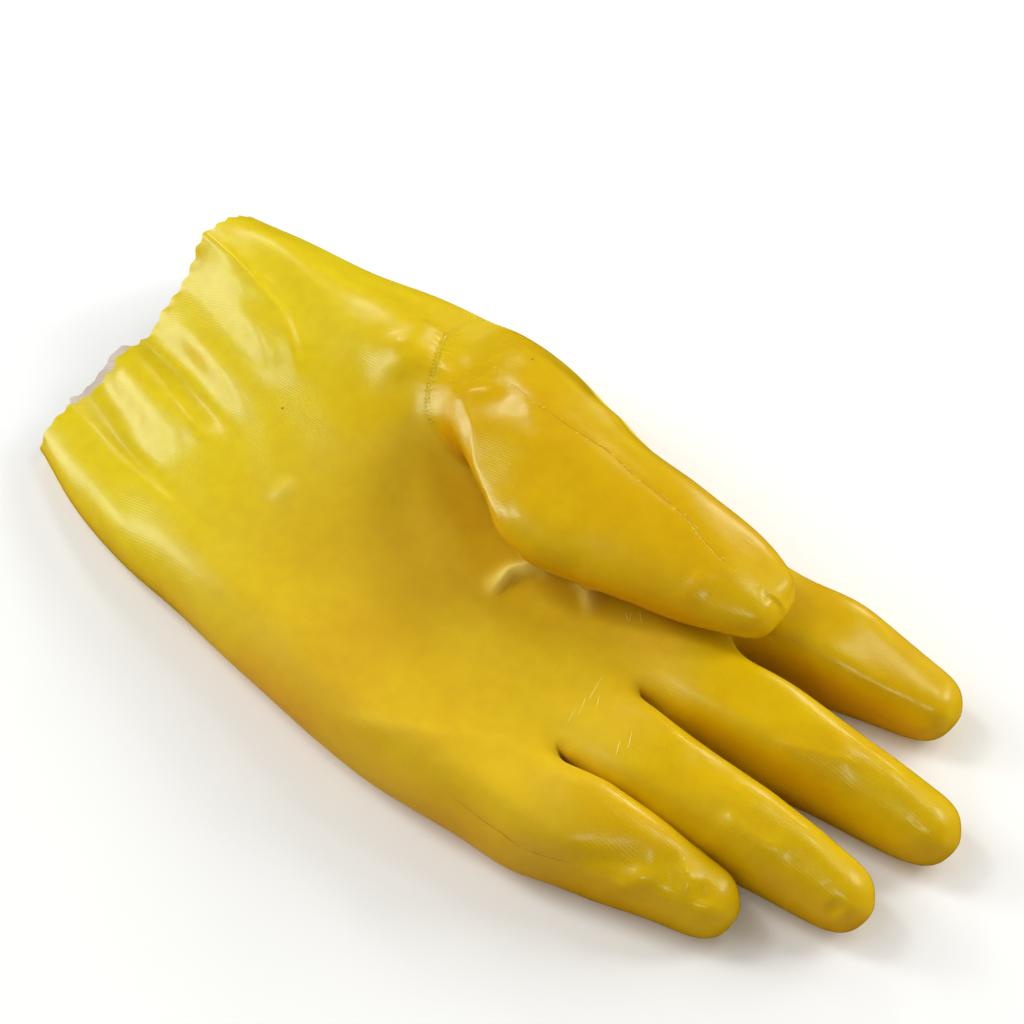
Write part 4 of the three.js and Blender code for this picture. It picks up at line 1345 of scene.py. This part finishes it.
def make_beads(skin, lines, view, coat):
    """The stitches that stand out of the coat along the seams, and the hairline creases."""
    tree = BVHTree.FromPolygons(skin["places"].tolist(), skin["quads"].tolist())
    base = Beads(tree)
    for seed, aside in enumerate((-BASE_STITCH["aside"], BASE_STITCH["aside"])):
        add_row_of_stitches(base, lines["base"], BASE_STITCH, aside, seed)
    top = Beads(tree)
    for seed, aside in enumerate((-TOP_STITCH["aside"], TOP_STITCH["aside"])):
        add_row_of_stitches(top, lines["top"], TOP_STITCH, aside, TOP_STITCH_SEED + seed)
    creases = Beads(tree)
    for pixels in CREASES:
        line = view.line(pixels)
        creases.add(line, 0, line.length, 0, 0, CREASE_HALF_WIDTH, CREASE_HEIGHT)
    # The creases' material, pale as a painted highlight
    highlighted_crease_coat = make_crease_material()
    rows = {"thumb_base_stitches": base, "thumb_top_stitches": top, "coat_creases": creases}
    for name, beads in rows.items():
        piece = make_object(name, beads.places, beads.faces)
        piece.data.materials.append(coat if beads is base else highlighted_crease_coat)
        for number in SKIN_NUMBERS:
            add_number(piece, number, np.zeros(len(beads.places)))
        finish_piece(piece)


def make_floor():
    half = FLOOR_HALF_SIZE / MM
    corners = np.array([(-half, -half, 0), (half, -half, 0), (half, half, 0), (-half, half, 0)])
    floor = make_object("floor", corners, [(0, 1, 2, 3)])
    floor.data.materials.append(make_floor_material())
    floor.visible_glossy = False


def make_light():
    for row in PANELS:
        light = bpy.data.lights.new(row["name"], "AREA")
        light.shape = "SQUARE"
        light.size = row["size"]
        light.energy = row["power"]
        light.color = GLOSS_COLOUR if row["gloss"] else FILL_COLOUR
        panel = bpy.data.objects.new(row["name"], light)
        towards = Vector(direction(row["azimuth"], row["elevation"]))
        panel.location = towards * PANEL_DISTANCE
        panel.visible_glossy = row["gloss"]
        panel.rotation_euler = towards.to_track_quat("Z", "Y").to_euler()
        bpy.context.scene.collection.objects.link(panel)
    world = bpy.data.worlds.new("room")
    bpy.context.scene.world = world
    world.use_nodes = True
    background = world.node_tree.nodes["Background"]
    background.inputs["Color"].default_value = ROOM_COLOUR
    background.inputs["Strength"].default_value = ROOM_STRENGTH
    world.cycles_visibility.glossy = False


def make_camera(view):
    camera = bpy.data.cameras.new("camera")
    camera.sensor_width = SENSOR_WIDTH
    camera.lens = SENSOR_WIDTH * CAMERA_FOCAL / PHOTO_SIZE
    holder = bpy.data.objects.new("camera", camera)
    turn = Matrix((view.right, view.up, view.back)).transposed()
    holder.matrix_world = Matrix.Translation(MM * view.stand) @ turn.to_4x4()
    bpy.context.scene.collection.objects.link(holder)
    bpy.context.scene.camera = holder


def main():
    skin, view, lines, mouth = make_skin()
    coat, cotton = make_coat_material(), make_cotton_material()
    make_coated_piece("palm_panel", "coated_palm", PALM, skin, [coat, cotton])
    make_coated_piece("back_panel", "coated_back", BACK, skin, [coat, cotton])
    make_coated_piece("thumb_panel", "coated_thumb", THUMB, skin, [coat, cotton])
    make_lining(skin, mouth, cotton)
    make_beads(skin, lines, view, coat)
    make_floor()
    make_light()
    make_camera(view)
    bpy.context.scene.view_settings.view_transform = "Standard"


main()
